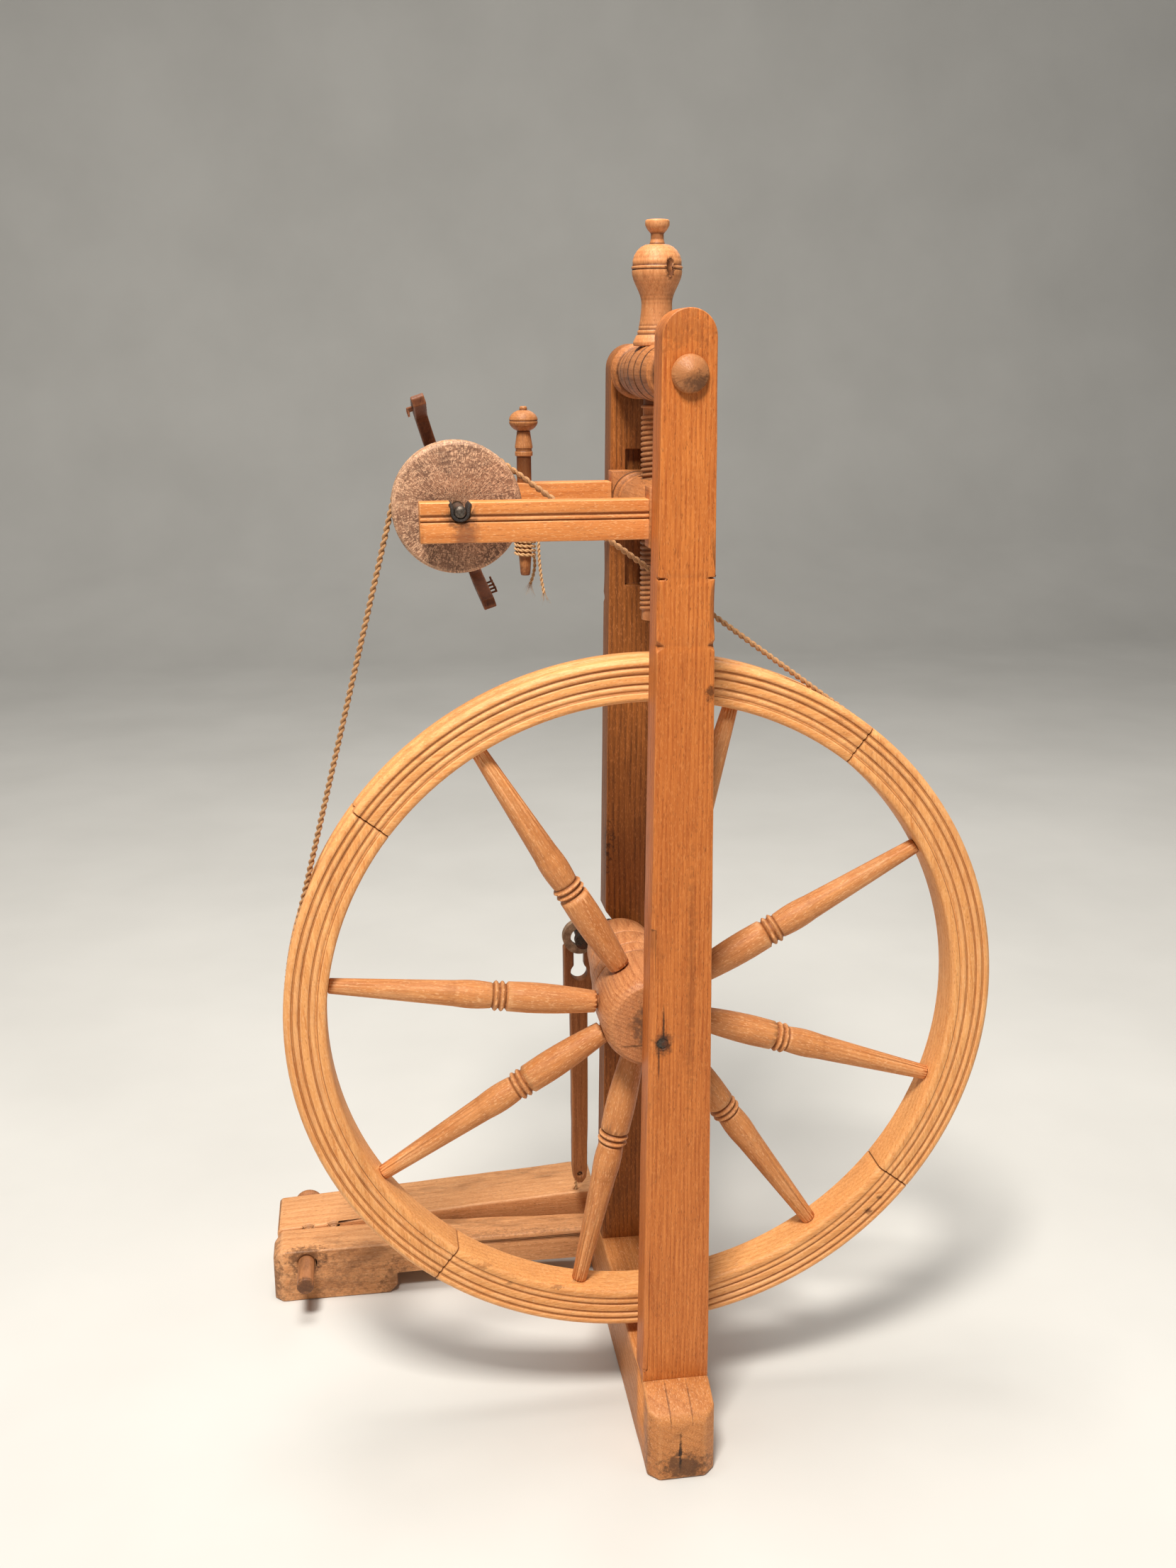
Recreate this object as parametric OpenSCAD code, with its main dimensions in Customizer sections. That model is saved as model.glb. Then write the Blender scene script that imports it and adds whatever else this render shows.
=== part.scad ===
// Upright treadle spinning wheel: the flyer carriage hangs above the drive wheel.
// Origin: on the floor under the wheel's centre. X runs along the side beam, Y along the axle.

/* [Frame] */
// Offset of the posts' centre line from the axle line
frame_offset = 14; // [8:1:18]
// Width of the cross beam that carries both posts
beam_w = 56; // [48:1:64]
// Height of the cross beam
beam_h = 72; // [66:1:76]
// Reach of the cross beam in front of the wheel plane
beam_front = 110; // [100:1:130]
// Reach of the cross beam behind the wheel plane
beam_rear = 230; // [224:1:232]
// Height of the top of both posts
post_top = 925; // [915:1:960]
// Thickness of a post
post_t = 30; // [26:1:34]
// Width of a post at its top
post_top_w = 39; // [36:1:42]
// Width of a post at its foot
post_foot_w = 55; // [50:1:56]
// Distance from the wheel plane to the front post's inner face
front_face = 47; // [46:1:52]
// Distance from the wheel plane to the rear post's inner face
rear_face = 140; // [138:1:150]
// Length of a post's foot tenon
tenon_l = 48; // [30:1:60]

/* [Side beam and treadle] */
// Distance from the wheel plane to the side beam's front face
side_y = 190; // [188:1:194]
// Width of the side beam at its foot block
side_w = 43; // [40:1:44]
// Width of the side beam where it enters the cross beam
side_end_w = 28; // [24:1:32]
// Height of the side beam's top face
side_h = 54; // [52:1:58]
// Height of the gap under the side beam's rail
rail_gap = 21; // [15:1:24]
// Distance from the axle line to the side beam's free end
side_reach = 330; // [325:1:345]
// Length of the foot block
block_l = 120; // [100:1:130]
// Distance from the side beam's free end to the treadle's pivot
pivot_inset = 32; // [28:1:39]
// Height of the treadle's pivot
pivot_z = 41; // [40:1:43]
// Diameter of the treadle pin
treadle_pin_d = 16; // [14:1:17]
// Length of the pin in front of the side beam
pin_out = 40; // [20:1:45]
// Diameter of the treadle pin's head
pin_head_d = 29; // [26:1:32]
// Width of the treadle board
treadle_w = 62; // [54:1:66]
// Thickness of the treadle board
treadle_t = 28; // [26:1:30]
// Rise of the treadle at rest, in degrees
treadle_rise = 3; // [2:0.5:3.5]

/* [Wheel] */
// Outer radius of the drive wheel
wheel_r = 293; // [285:1:300]
// Height of the rim's lowest point above the floor
wheel_lift = 84; // [81:1:89]
// Radial depth of the rim
rim_d = 34; // [30:1:38]
// Thickness of the rim
rim_t = 33; // [30:1:36]
// Width of the cord groove in the rim and in the whorl
groove_w = 9; // [7:1:11]
// Depth of the cord groove
groove_d = 5; // [4:0.5:6]
// Number of spokes
spoke_n = 8; // [8]
// Angle of the first spoke above the horizontal
spoke_turn = 30; // [25:1:35]
// Thickest diameter of a spoke
spoke_d = 25; // [21:1:27]
// Angle of the first felloe joint above the horizontal
joint_turn = 52; // [48:1:56]
// Largest radius of the hub
hub_r = 40; // [37:1:44]
// Distance from the wheel plane to the hub's front face
hub_front = 42; // [38:1:44]
// Distance from the wheel plane to the hub's rear end
hub_rear = 134; // [125:1:136]
// Diameter of the iron axle
axle_d = 9; // [8:0.5:11]

/* [Crank and footman] */
// Throw of the crank
crank_throw = 28; // [24:1:30]
// Crank angle at rest, from +X towards +Z
crank_turn = 203; // [195:1:215]
// Diameter of the crank pin
crank_pin_d = 10; // [8:0.5:11]
// Outside diameter of the leather loop on the crank pin
loop_od = 33; // [31:1:36]
// Inside diameter of the leather loop
loop_id = 18; // [16:1:20]
// Thickness of the leather loop
loop_t = 8; // [6:1:9]
// Width of the footman at its fork
footman_top_w = 29; // [26:1:32]
// Width of the footman at its lower end
footman_end_w = 15; // [12:1:18]
// Thickness of the footman
footman_t = 11; // [9:1:13]
// Height of the footman's lower end at rest
footman_end = 97; // [95:1:102]

/* [Carriage] */
// Distance from the axle line to the free end of the arms
arm_reach = 174; // [168:1:182]
// Height of an arm's underside
arm_z = 764; // [760:1:768]
// Height of an arm
arm_h = 29; // [28:1:32]
// Thickness of an arm
arm_t = 18; // [16:1:20]
// Side of the square plate at each end of the nut barrel
plate_side = 44; // [42:1:48]
// Largest radius of the nut barrel
barrel_r = 25; // [22:1:26]
// Width of the plates' tongues
tongue_w = 14; // [12:1:15]
// Depth of a tongue in its post
tongue_d = 8; // [6:1:9]
// Upper end of the slots in the posts
slot_top = 818; // [816:1:825]
// Lower end of the slots in the posts
slot_low = 704; // [700:1:712]

/* [Tension screw] */
// Height of the top drum's axis
drum_z = 881; // [878:1:884]
// Largest radius of the top drum
drum_r = 22; // [20:1:23]
// Diameter of the drum's journals in the posts
journal_d = 20; // [16:1:22]
// Diameter of the screw
screw_d = 23; // [20:1:25]
// Lower end of the screw
screw_low = 690; // [680:1:700]
// Height of the knob above the drum
knob_h = 91; // [84:1:96]
// Largest diameter of the knob
knob_d = 39; // [36:1:42]

/* [Flyer] */
// Distance from the axle line to the spindle
spindle_x = 145; // [142:1:148]
// Height of the spindle above an arm's underside
spindle_up = 22; // [21:1:23]
// Diameter of the spindle
spindle_d = 9; // [8:0.5:10]
// Radius of the whorl
whorl_r = 48; // [45:1:50]
// Thickness of the whorl
whorl_t = 28; // [24:1:30]
// Radius at which the flyer's arm tips run
flyer_r = 84; // [79:1:86]
// Width of a flyer arm
flyer_arm_w = 10; // [9:1:13]
// Angle of the flyer's plane at rest, from +X towards +Z
flyer_turn = 108; // [100:1:115]
// Radius of the bobbin's end discs
bobbin_r = 32; // [28:1:36]

/* [Brake peg] */
// Distance from the axle line to the brake peg
peg_x = 80; // [74:1:84]
// Diameter of the peg's shaft
peg_d = 12; // [10:0.5:13]
// Height of the peg above its arm
peg_rise = 61; // [55:1:67]
// Reach of the peg below its arm
peg_drop = 48; // [42:1:52]

/* [Cords] */
// Diameter of the drive band
band_d = 5; // [4:0.5:6]
// Diameter of the brake cord and of the treadle tie
tie_d = 3; // [2.5:0.5:3.5]

/* [Hidden] */
$fn = 64;
eps = 0.02;

// Clearances: running fits turn, slide fits move along, seats are fixed
running = 0.06;
slide_gap = 0.35;
seat_gap = 0.05;
shoulder_gap = 0.4;

// Frame places
front_out = -front_face - post_t;
front_mid = -front_face - post_t / 2;
rear_mid = rear_face + post_t / 2;
tenon_t = post_t * 0.5;
slot_w = tongue_w + 2 * slide_gap;
slot_depth = tongue_d + 1;
post_round = post_top_w / 2;
cap_r = 13.3;
rear_drop = 22;

// Side beam and treadle places
pivot_x = side_reach - pivot_inset;
rail_end_x = frame_offset - beam_w / 2;
side_back = side_y + side_w;
side_tenon_l = beam_w * 0.55;
side_tenon_h = 18;
treadle_gap = 1;
treadle_y = side_back + treadle_gap;
treadle_left = -side_reach + 3;
treadle_right = -5;
pin_head_t = 12;

// Wheel places
axle_z = wheel_r + wheel_lift;
rim_in = wheel_r - rim_d;
spoke_seat = 12;
spoke_root = hub_r - spoke_seat;
spoke_shift = [-0.7, 0, 1, 7.6, 1.8, 2.5, 4.8, -3];
spoke_tip = rim_in + spoke_seat;
spoke_tenon_d = 11;
key_d = 8;
key_l = 44;
key_r = wheel_r - rim_d * 0.62;
felloe_n = 4;

// Crank places
crank_back = 4;
crank_t = 9;
crank_y = rear_face + post_t + crank_back;
crank_pin_x = crank_throw * cos(crank_turn);
crank_pin_z = axle_z + crank_throw * sin(crank_turn);
loop_y = crank_y + crank_t + 12;
loop_drop = (loop_id - crank_pin_d) / 2 - 0.3;
footman_y = loop_y + loop_t;
crank_pin_end = footman_y - 0.6;
fork_top = crank_pin_z - loop_drop - loop_id / 2 - 1.5;
tie_hole_z = footman_end + 10;
tie_hole_d = 5;

// Carriage places
spindle_z = arm_z + spindle_up;
peg_top = arm_z + arm_h + peg_rise;
peg_low = arm_z - peg_drop;
barrel_z = arm_z + arm_h / 2 + 1;
plate_gap = slide_gap;
front_plate = -front_face + plate_gap;
rear_plate = rear_face - plate_gap;
barrel_mid = (rear_face - front_face) / 2;
arm_tenon_l = 16;
arm_tenon_h = 16;
arm_tenon_t = arm_t / 2;
plate_left = frame_offset - plate_side / 2;
bearing_slot_w = 14;
bearing_d = bearing_slot_w - 0.4;
bearing_t = 12;
nut_bore = screw_d + 0.2;

// Screw places
drum_top = drum_z + drum_r - 3;
neck_d = screw_d - 4;

// Flyer places
spindle_front = front_plate - 3;
yoke_y = rear_plate - arm_t - 22;
yoke_t = 15;
yoke_depth = 10;
tip_y = whorl_t / 2 + 4;
bobbin_front = whorl_t / 2 + 3;
bobbin_rear = yoke_y - 3;
spindle_rear = rear_plate - 3;

// Brake cord: turns round the peg just under the rear arm
wrap_turns = 6;
wrap_pitch = tie_d + 0.6;
wrap_r = peg_d / 2 + tie_d / 2 + 0.35;
wrap_top = arm_z - 9.5;

// Free cords: the brake cord's ends run from the winding, measured from the peg's axis
long_tail = [[8, -6, 754.2], [10, -8, 751], [10.5, -8, 745], [10.5, -8, 738], [11, -7, 729], [12, -6, 719],
             [13.5, -5, 709], [15, -5, 701]];
short_tail = [[8, 6, 733], [8, 9, 731], [9, 11, 727], [9, 11, 721], [7.5, 10, 714], [5, 10, 707]];
// The tie hangs from the footman's hole and goes down through the treadle
tie_route = [[-26, 206, 106.3], [-26, 216, 106.3], [-26, 225, 103], [-25, 233, 97], [-25, 239, 89],
             [-25, 242.5, 78], [-24.8, 242.5, 62]];

// One polygon ring of a tube, square to the direction d at the point p
function ring_at(p, d, r, sides) =
    let (u = d / norm(d),
         a = abs(u[2]) > 0.9 ? [1, 0, 0] : [0, 0, 1],
         s = cross(u, a) / norm(cross(u, a)),
         t = cross(u, s))
    [for (i = [0:sides - 1]) p + r * (cos(360 * i / sides) * s + sin(360 * i / sides) * t)];

// Direction of a path at its point i
function heading(path, i) =
    let (n = len(path))
    path[min(i + 1, n - 1)] - path[max(i - 1, 0)];

// Tube along an open path
module tube(path, d, sides) {
    n = len(path);
    points = [for (i = [0:n - 1]) each ring_at(path[i], heading(path, i), d / 2, sides)];
    walls = [for (i = [0:n - 2], j = [0:sides - 1])
        let (a = i * sides + j,
             b = i * sides + (j + 1) % sides,
             c = a + sides,
             e = b + sides)
        each [[a, c, b], [b, c, e]]];
    first = [for (j = [1:sides - 2]) [0, j, j + 1]];
    last = [for (j = [1:sides - 2]) [(n - 1) * sides, (n - 1) * sides + j + 1, (n - 1) * sides + j]];
    polyhedron(points = points, faces = concat(first, walls, last));
}

// Tube along a closed path in the plane y = 0
module closed_tube(path, d, sides) {
    n = len(path);
    points = [for (i = [0:n - 1])
        each ring_at(path[i], path[(i + 1) % n] - path[(i + n - 1) % n], d / 2, sides)];
    walls = [for (i = [0:n - 1], j = [0:sides - 1])
        let (k = (i + 1) % n,
             a = i * sides + j,
             b = i * sides + (j + 1) % sides,
             c = k * sides + j,
             e = k * sides + (j + 1) % sides)
        each [[a, c, b], [b, c, e]]];
    polyhedron(points = points, faces = walls);
}

// Least distance between points of a path that lie more than skip steps apart
function self_gap(path, skip) =
    min([for (i = [0:len(path) - 1], j = [0:len(path) - 1]) if (j - i > skip) norm(path[i] - path[j])]);

// Turns a solid made along +Z so that it lies along +Y
module along_y() {
    rotate([-90, 0, 0]) children();
}

module post_tenon(y_mid, grow) {
    translate([frame_offset, y_mid, beam_h - tenon_l / 2 + eps])
        cube([post_foot_w * 0.62 + grow, tenon_t + grow, tenon_l + 2 * eps], center = true);
}

module cross_beam() {
    color("tan") difference() {
        translate([frame_offset, -beam_front, 0])
            intersection() {
                translate([-beam_w / 2, 0, 0])
                    cube([beam_w, beam_front + beam_rear, beam_h]);
                beam_outline();
            }
        translate([0, 0, -eps]) post_tenon(front_mid, 2 * seat_gap);
        translate([0, 0, -eps]) post_tenon(rear_mid, 2 * seat_gap);
        side_tenon(2 * seat_gap);
    }
}

// Plan of the cross beam with its corners cut, and a worn bevel along the top of each end
module beam_outline() {
    l = beam_front + beam_rear;
    c = 9;
    slope = beam_front - front_face - post_t - 2;
    intersection() {
        linear_extrude(beam_h)
            polygon([[-beam_w / 2 + c, 0], [beam_w / 2 - c, 0], [beam_w / 2, c], [beam_w / 2, l - c],
                     [beam_w / 2 - c, l], [-beam_w / 2 + c, l], [-beam_w / 2, l - c], [-beam_w / 2, c]]);
        rotate([90, 0, 90])
            translate([0, 0, -beam_w / 2])
                linear_extrude(beam_w)
                    polygon([[0, 0], [l, 0], [l, beam_h - c], [l - c, beam_h], [slope, beam_h],
                             [4, beam_h - 12], [0, beam_h - 18]]);
    }
}

// Outline of a post seen along the axle, round at its top
module post_outline(top) {
    shoulder = top - post_round;
    polygon([[-post_foot_w / 2, beam_h], [post_foot_w / 2, beam_h],
             [post_round, shoulder], [-post_round, shoulder]]);
    translate([0, shoulder]) circle(post_round);
}

// Stopped ornament on one corner of a post: saw cut, hollow chamfer and V notch
module edge_carving(y_corner, side, out) {
    cut_z = slot_low + 35;
    hollow_low = slot_low - 5;
    notch_z = slot_low - 14;
    hollow_r = 90;
    wide = 40;
    edge = post_round + (post_foot_w / 2 - post_round) * (post_top - cut_z) / (post_top - beam_h);
    translate([frame_offset + side * edge, y_corner, 0])
        rotate([0, 0, out < 0 ? side * 45 : 180 - side * 45]) {
            translate([0, 0, cut_z])
                cube([wide, 9, 1.4], center = true);
            translate([0, -hollow_r + 3, (cut_z + hollow_low) / 2])
                rotate([0, 90, 0]) cylinder(h = wide, r = hollow_r, center = true, $fn = 96);
            translate([0, -1, notch_z])
                rotate([45, 0, 0]) cube([wide, 7, 7], center = true);
        }
}

// Narrow stopped chamfer on the front post's lower left edge
module edge_chamfer() {
    side = 4;
    mid_z = beam_h + 205;
    shoulder = post_top - post_round;
    spread = post_foot_w / 2 - post_round;
    edge = post_round + spread * (shoulder - mid_z) / (shoulder - beam_h);
    translate([frame_offset - edge, front_out, mid_z])
        rotate([0, atan2(spread, shoulder - beam_h), 0])
            rotate([0, 0, 45])
                cube([side, side, 390], center = true);
}

module post_body(y_low, top) {
    translate([frame_offset, y_low + post_t, 0])
        rotate([90, 0, 0])
            linear_extrude(post_t) post_outline(top);
}

module tongue_slot(y_low) {
    translate([frame_offset - slot_w / 2, y_low, slot_low])
        cube([slot_w, slot_depth + eps, slot_top - slot_low]);
}

module front_post() {
    color("peru") difference() {
        union() {
            post_body(front_out, post_top);
            post_tenon(front_mid, 0);
        }
        translate([0, front_out - eps, axle_z])
            along_y() cylinder(h = post_t + 2 * eps, d = axle_d + 2 * running);
        translate([frame_offset, front_out - eps, drum_z])
            along_y() cylinder(h = post_t + 2 * eps, d = journal_d + 2 * seat_gap);
        tongue_slot(-front_face - slot_depth);
        edge_chamfer();
        edge_carving(front_out, -1, -1);
        edge_carving(front_out, 1, -1);
    }
}

// The rear post's left edge is cut open beside the axle, which drops into a half-round seat
module axle_mouth() {
    mouth = 42;
    deep = axle_d / 2 + running;
    translate([0, rear_face + post_t + eps, axle_z])
        rotate([90, 0, 0])
            linear_extrude(post_t + 2 * eps)
                polygon([[-60, 0], [deep, 0], [deep, 10], [-60, mouth + 60]]);
}

module rear_post() {
    color("peru") difference() {
        union() {
            post_body(rear_face, post_top - rear_drop);
            post_tenon(rear_mid, 0);
        }
        translate([0, rear_face - eps, axle_z])
            along_y() cylinder(h = post_t + 2 * eps, d = axle_d + 2 * running);
        axle_mouth();
        translate([frame_offset, rear_face - eps, drum_z])
            along_y() cylinder(h = post_t + 2 * eps, d = journal_d + 2 * seat_gap);
        tongue_slot(rear_face - eps);
        edge_carving(rear_face + post_t, -1, 1);
        edge_carving(rear_face + post_t, 1, 1);
    }
}

module side_tenon(grow) {
    tenon_w = side_end_w * 0.6;
    translate([rail_end_x - eps, side_y + (side_end_w - tenon_w - grow) / 2,
               (rail_gap + side_h - side_tenon_h - grow) / 2])
        cube([side_tenon_l + grow + eps, tenon_w + grow, side_tenon_h + grow]);
}

// Side beam: a foot block on the floor and a raised rail that narrows towards the cross beam
module side_beam() {
    corner = 8;
    block_end = -side_reach + block_l;
    color("burlywood") difference() {
        union() {
            intersection() {
                linear_extrude(side_h)
                    polygon([[-side_reach, side_y + corner], [-side_reach + corner, side_y],
                             [rail_end_x, side_y], [rail_end_x, side_y + side_end_w],
                             [block_end, side_back], [-side_reach + corner, side_back],
                             [-side_reach, side_back - corner]]);
                translate([0, side_back + 1, 0])
                    rotate([90, 0, 0])
                        linear_extrude(side_w + 2)
                            polygon([[-side_reach, 0], [block_end - corner, 0], [block_end, corner],
                                     [block_end, rail_gap], [rail_end_x, rail_gap], [rail_end_x, side_h],
                                     [-side_reach + corner, side_h], [-side_reach, side_h - corner]]);
            }
            side_tenon(0);
        }
        translate([-pivot_x, side_y - eps, pivot_z])
            along_y() cylinder(h = side_w + 2 * eps, d = treadle_pin_d + 2 * seat_gap);
        rail_bead();
    }
}

// Scratched line along the rail's upper front edge
module rail_bead() {
    line = 2;
    translate([-side_reach + block_l + 10, side_y - eps, side_h - 8])
        cube([side_reach - block_l - 20 + rail_end_x, line, line]);
}

// Turned pin: shaft through the side beam and the treadle, round head behind
module treadle_pin() {
    back = treadle_y + treadle_w + shoulder_gap;
    color("saddlebrown") translate([-pivot_x, 0, pivot_z]) {
        translate([0, side_y - pin_out, 0])
            along_y() cylinder(h = back - side_y + pin_out, d = treadle_pin_d);
        translate([0, back, 0])
            along_y() rotate_extrude()
                polygon([[0, 0], [pin_head_d / 2 - 1, 0], [pin_head_d / 2, 2], [pin_head_d / 2, pin_head_t - 4],
                         [pin_head_d / 2 - 5, pin_head_t], [0, pin_head_t]]);
    }
}

// Treadle board in its own flat frame: x from the pivot, z from the pivot
module treadle_board() {
    right = treadle_right + pivot_x;
    left = treadle_left + pivot_x;
    low = -treadle_t / 2;
    translate([0, treadle_w, 0])
        rotate([90, 0, 0])
            linear_extrude(treadle_w)
                polygon([[left + 6, low], [right - 4, low], [right, low + 4], [right, low + treadle_t],
                         [left + 3, low + treadle_t], [left, low + treadle_t - 3], [left, low + 6]]);
}

module treadle() {
    notch_d = 9;
    color("burlywood") difference() {
        translate([-pivot_x, treadle_y, pivot_z])
            rotate([0, -treadle_rise, 0])
                difference() {
                    treadle_board();
                    for (x = [2, 27])
                        translate([x, 0, treadle_pin_d / 2 + 2])
                            cylinder(h = treadle_t, d = notch_d);
                    translate([pivot_x - 24, 8, -treadle_t])
                        cylinder(h = 2 * treadle_t, d = tie_hole_d);
                }
        translate([-pivot_x, treadle_y - eps, pivot_z])
            along_y() cylinder(h = treadle_w + 2 * eps, d = treadle_pin_d + 2 * running);
    }
}

// Stretch of the drum's swelling profile, let in at both ends where a ring groove is cut
function drum_swell(r, span, from, to) =
    let (n = 4,
         cut = 1.5,
         at = function (t) [r * (0.84 + 0.16 * sin(180 * t)), 26 + (span - 52) * t])
    concat([at(from) - [cut, 0]],
           [for (i = [0:n]) at(from + (to - from) * i / n)],
           [at(to) - [cut, 0]]);

// Round ring on the drum between two depths along it
function drum_bead(r, from, to) =
    concat([[r * 0.76, from]],
           [for (i = [0:6]) [r * (0.8 + 0.2 * sin(30 * i)), from + (to - from) * (0.08 + 0.84 * i / 6)]],
           [[r * 0.76, to]]);

// Turned drum between the posts that carries the screw
module top_drum() {
    span = rear_face + front_face;
    r = drum_r;
    color("sienna") difference() {
        translate([frame_offset, -front_face, drum_z])
            along_y() {
                rotate_extrude()
                    polygon(concat(
                        [[0, 0], [r * 0.8, 0], [r * 0.8, 6]],
                        drum_bead(r, 7, 14),
                        drum_bead(r, 15, 25),
                        drum_swell(r, span, 0, 0.33),
                        drum_swell(r, span, 0.35, 0.65),
                        drum_swell(r, span, 0.67, 1),
                        drum_bead(r, span - 25, span - 15),
                        drum_bead(r, span - 14, span - 7),
                        [[r * 0.8, span - 6], [r * 0.8, span], [0, span]]));
                for (z = [-post_t, span])
                    translate([0, 0, z]) cylinder(h = post_t, d = journal_d);
            }
        translate([frame_offset, barrel_mid, drum_z - r - 1])
            cylinder(h = 2 * r + 2, d = neck_d + 2 * running);
        translate([frame_offset - r, barrel_mid - r, drum_top])
            cube([2 * r, 2 * r, r]);
    }
}

// Low turned cone on the end of each journal
module drum_cap() {
    color("peru") rotate_extrude()
        polygon([[0, 0], [cap_r, 0], [cap_r, 2], [cap_r - 1.5, 5], [4, 10], [0, 11]]);
}

module drum_cap_front() {
    translate([frame_offset, front_out, drum_z]) rotate([90, 0, 0]) drum_cap();
}

module drum_cap_rear() {
    translate([frame_offset, rear_face + post_t, drum_z]) rotate([-90, 0, 0]) drum_cap();
}

// Drive band: both straight runs touch the wheel's groove and the whorl's groove
band_wheel_r = wheel_r - groove_d + band_d / 2 + shoulder_gap;
band_whorl_r = whorl_r - groove_d + band_d / 2 + shoulder_gap;
band_dx = -spindle_x;
band_dz = spindle_z - axle_z;
band_span = norm([band_dx, band_dz]);
band_lean = atan2(band_dz, band_dx);
band_open = acos((band_wheel_r - band_whorl_r) / band_span);

function band_arc(cx, cz, r, from, to, n) =
    [for (i = [0:n]) let (a = from + (to - from) * i / n) [cx + r * cos(a), 0, cz + r * sin(a)]];

module drive_band() {
    right = band_lean - band_open;
    left = band_lean + band_open;
    path = concat(
        band_arc(-spindle_x, spindle_z, band_whorl_r, right, left, 14),
        band_arc(0, axle_z, band_wheel_r, left, right + 360, 52));
    color("goldenrod") closed_tube(path, band_d, 8);
}

// Turned hub: front barrel with the spokes, then a long waist back to the rear post
module hub() {
    r = hub_r;
    color("burlywood") difference() {
        translate([0, 0, axle_z])
            along_y() rotate_extrude($fn = 96)
                polygon([[0, -hub_front], [r * 0.84, -hub_front], [r * 0.92, -hub_front + 3], [r, -hub_front + 14],
                         [r, 20], [r * 0.97, 23], [r * 0.9, 24], [r * 0.9, 27], [r * 0.95, 28], [r * 0.93, 46],
                         [r * 0.86, 47], [r * 0.86, 50], [r * 0.9, 51], [r * 0.84, 82], [r * 0.77, 83],
                         [r * 0.77, 86], [r * 0.81, 87], [r * 0.74, hub_rear - 10], [r * 0.68, hub_rear - 3],
                         [r * 0.55, hub_rear], [0, hub_rear]]);
        translate([0, -hub_front - eps, axle_z])
            along_y() cylinder(h = hub_front + hub_rear + 2 * eps, d = axle_d + 2 * seat_gap);
        for (i = [0:spoke_n - 1])
            spoke_frame(i) cylinder(h = hub_r, d = spoke_tenon_d + 2 * seat_gap);
    }
}

// Frame of spoke i: +Z runs outwards from the spoke's root
module spoke_frame(i) {
    translate([0, 0, axle_z])
        rotate([0, 90 - spoke_turn - 360 * i / spoke_n - spoke_shift[i], 0])
            translate([0, 0, spoke_root]) children();
}

// Turned spoke: swell, pair of beads, second swell, long taper to the rim
module spoke(i) {
    r = spoke_d / 2;
    l = spoke_tip - spoke_root;
    a = spoke_seat + 2;
    b = l - spoke_seat - 1;
    v = b - a;
    color("burlywood") spoke_frame(i) rotate_extrude()
        polygon(concat(
            [[0, 0], [spoke_tenon_d / 2, 0], [spoke_tenon_d / 2, a - 1], [r * 0.72, a]],
            [for (k = [1:7]) [r * (0.72 + 0.28 * sin(90 * k / 7)), a + v * 0.26 * k / 7]],
            [[r * 0.97, a + v * 0.335], [r * 0.78, a + v * 0.345]],
            [for (k = [0:4]) [r * (0.82 + 0.18 * sin(45 * k)), a + v * (0.348 + 0.02 * k / 4)]],
            [for (k = [0:4]) [r * (0.82 + 0.18 * sin(45 * k)), a + v * (0.372 + 0.02 * k / 4)]],
            [[r * 0.78, a + v * 0.395]],
            [for (k = [0:6]) [r * (0.84 + 0.08 * sin(30 * k)), a + v * (0.4 + 0.14 * k / 6)]],
            [[r * 0.5, b], [spoke_tenon_d / 2 - 1, b + 1], [spoke_tenon_d / 2 - 1, l], [0, l]]));
}

// Cross section of the rim, from the inner edge outwards, with the moulded front face and the cord groove
module rim_section() {
    f = -rim_t / 2;
    b = rim_t / 2;
    d = rim_d;
    polygon(concat(
        [[rim_in, f + 3], [rim_in + 1, f + 1], [rim_in + 3, f], [rim_in + d * 0.2, f],
         [rim_in + d * 0.22, f + 1.6], [rim_in + d * 0.25, f + 1.6]],
        [for (i = [0:4]) [rim_in + d * (0.26 + 0.03 * i), f + 1.4 - 1.1 * sin(45 * i)]],
        [[rim_in + d * 0.39, f + 2.2], [rim_in + d * 0.42, f + 2.2], [rim_in + d * 0.44, f + 0.8],
         [rim_in + d * 0.6, f + 0.8], [rim_in + d * 0.62, f + 2.2], [rim_in + d * 0.65, f + 2.2]],
        [for (i = [0:4]) [rim_in + d * (0.66 + 0.028 * i), f + 1.2 - 1.1 * sin(45 * i)]],
        [[rim_in + d * 0.79, f + 2], [rim_in + d * 0.82, f + 2], [rim_in + d * 0.84, f + 0.4],
         [wheel_r - 3, f + 0.4], [wheel_r, f + 3], [wheel_r, -groove_w / 2], [wheel_r - groove_d, -1.5],
         [wheel_r - groove_d, 1.5], [wheel_r, groove_w / 2], [wheel_r, b - 2], [wheel_r - 2, b],
         [rim_in + 2, b], [rim_in, b - 2]]));
}

// Felloe i: a quarter of the rim between two joints
module felloe(i) {
    turn = joint_turn + 90 * i;
    saw = 0.35;
    color("burlywood") difference() {
        translate([0, 0, axle_z])
            rotate([0, -turn, 0])
                along_y()
                    rotate([0, 0, -90 + atan2(saw, wheel_r)])
                        rotate_extrude(angle = 90 - 2 * atan2(saw, wheel_r), $fn = 180)
                            rim_section();
        for (k = [0:spoke_n - 1])
            spoke_frame(k)
                translate([0, 0, spoke_tip - spoke_root - spoke_seat - 8])
                    cylinder(h = spoke_seat + 8 + seat_gap, d = spoke_tenon_d - 2 + 2 * seat_gap);
        for (k = [0:felloe_n - 1]) felloe_key_solid(k, 2 * seat_gap);
    }
}

// Round key across felloe joint k
module felloe_key_solid(k, grow) {
    translate([0, 0, axle_z])
        rotate([0, -joint_turn - 90 * k, 0])
            translate([key_r, 0, 0])
                cylinder(h = key_l + grow, d = key_d + grow, center = true);
}

module felloe_key(k) {
    color("tan") felloe_key_solid(k, 0);
}

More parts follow.
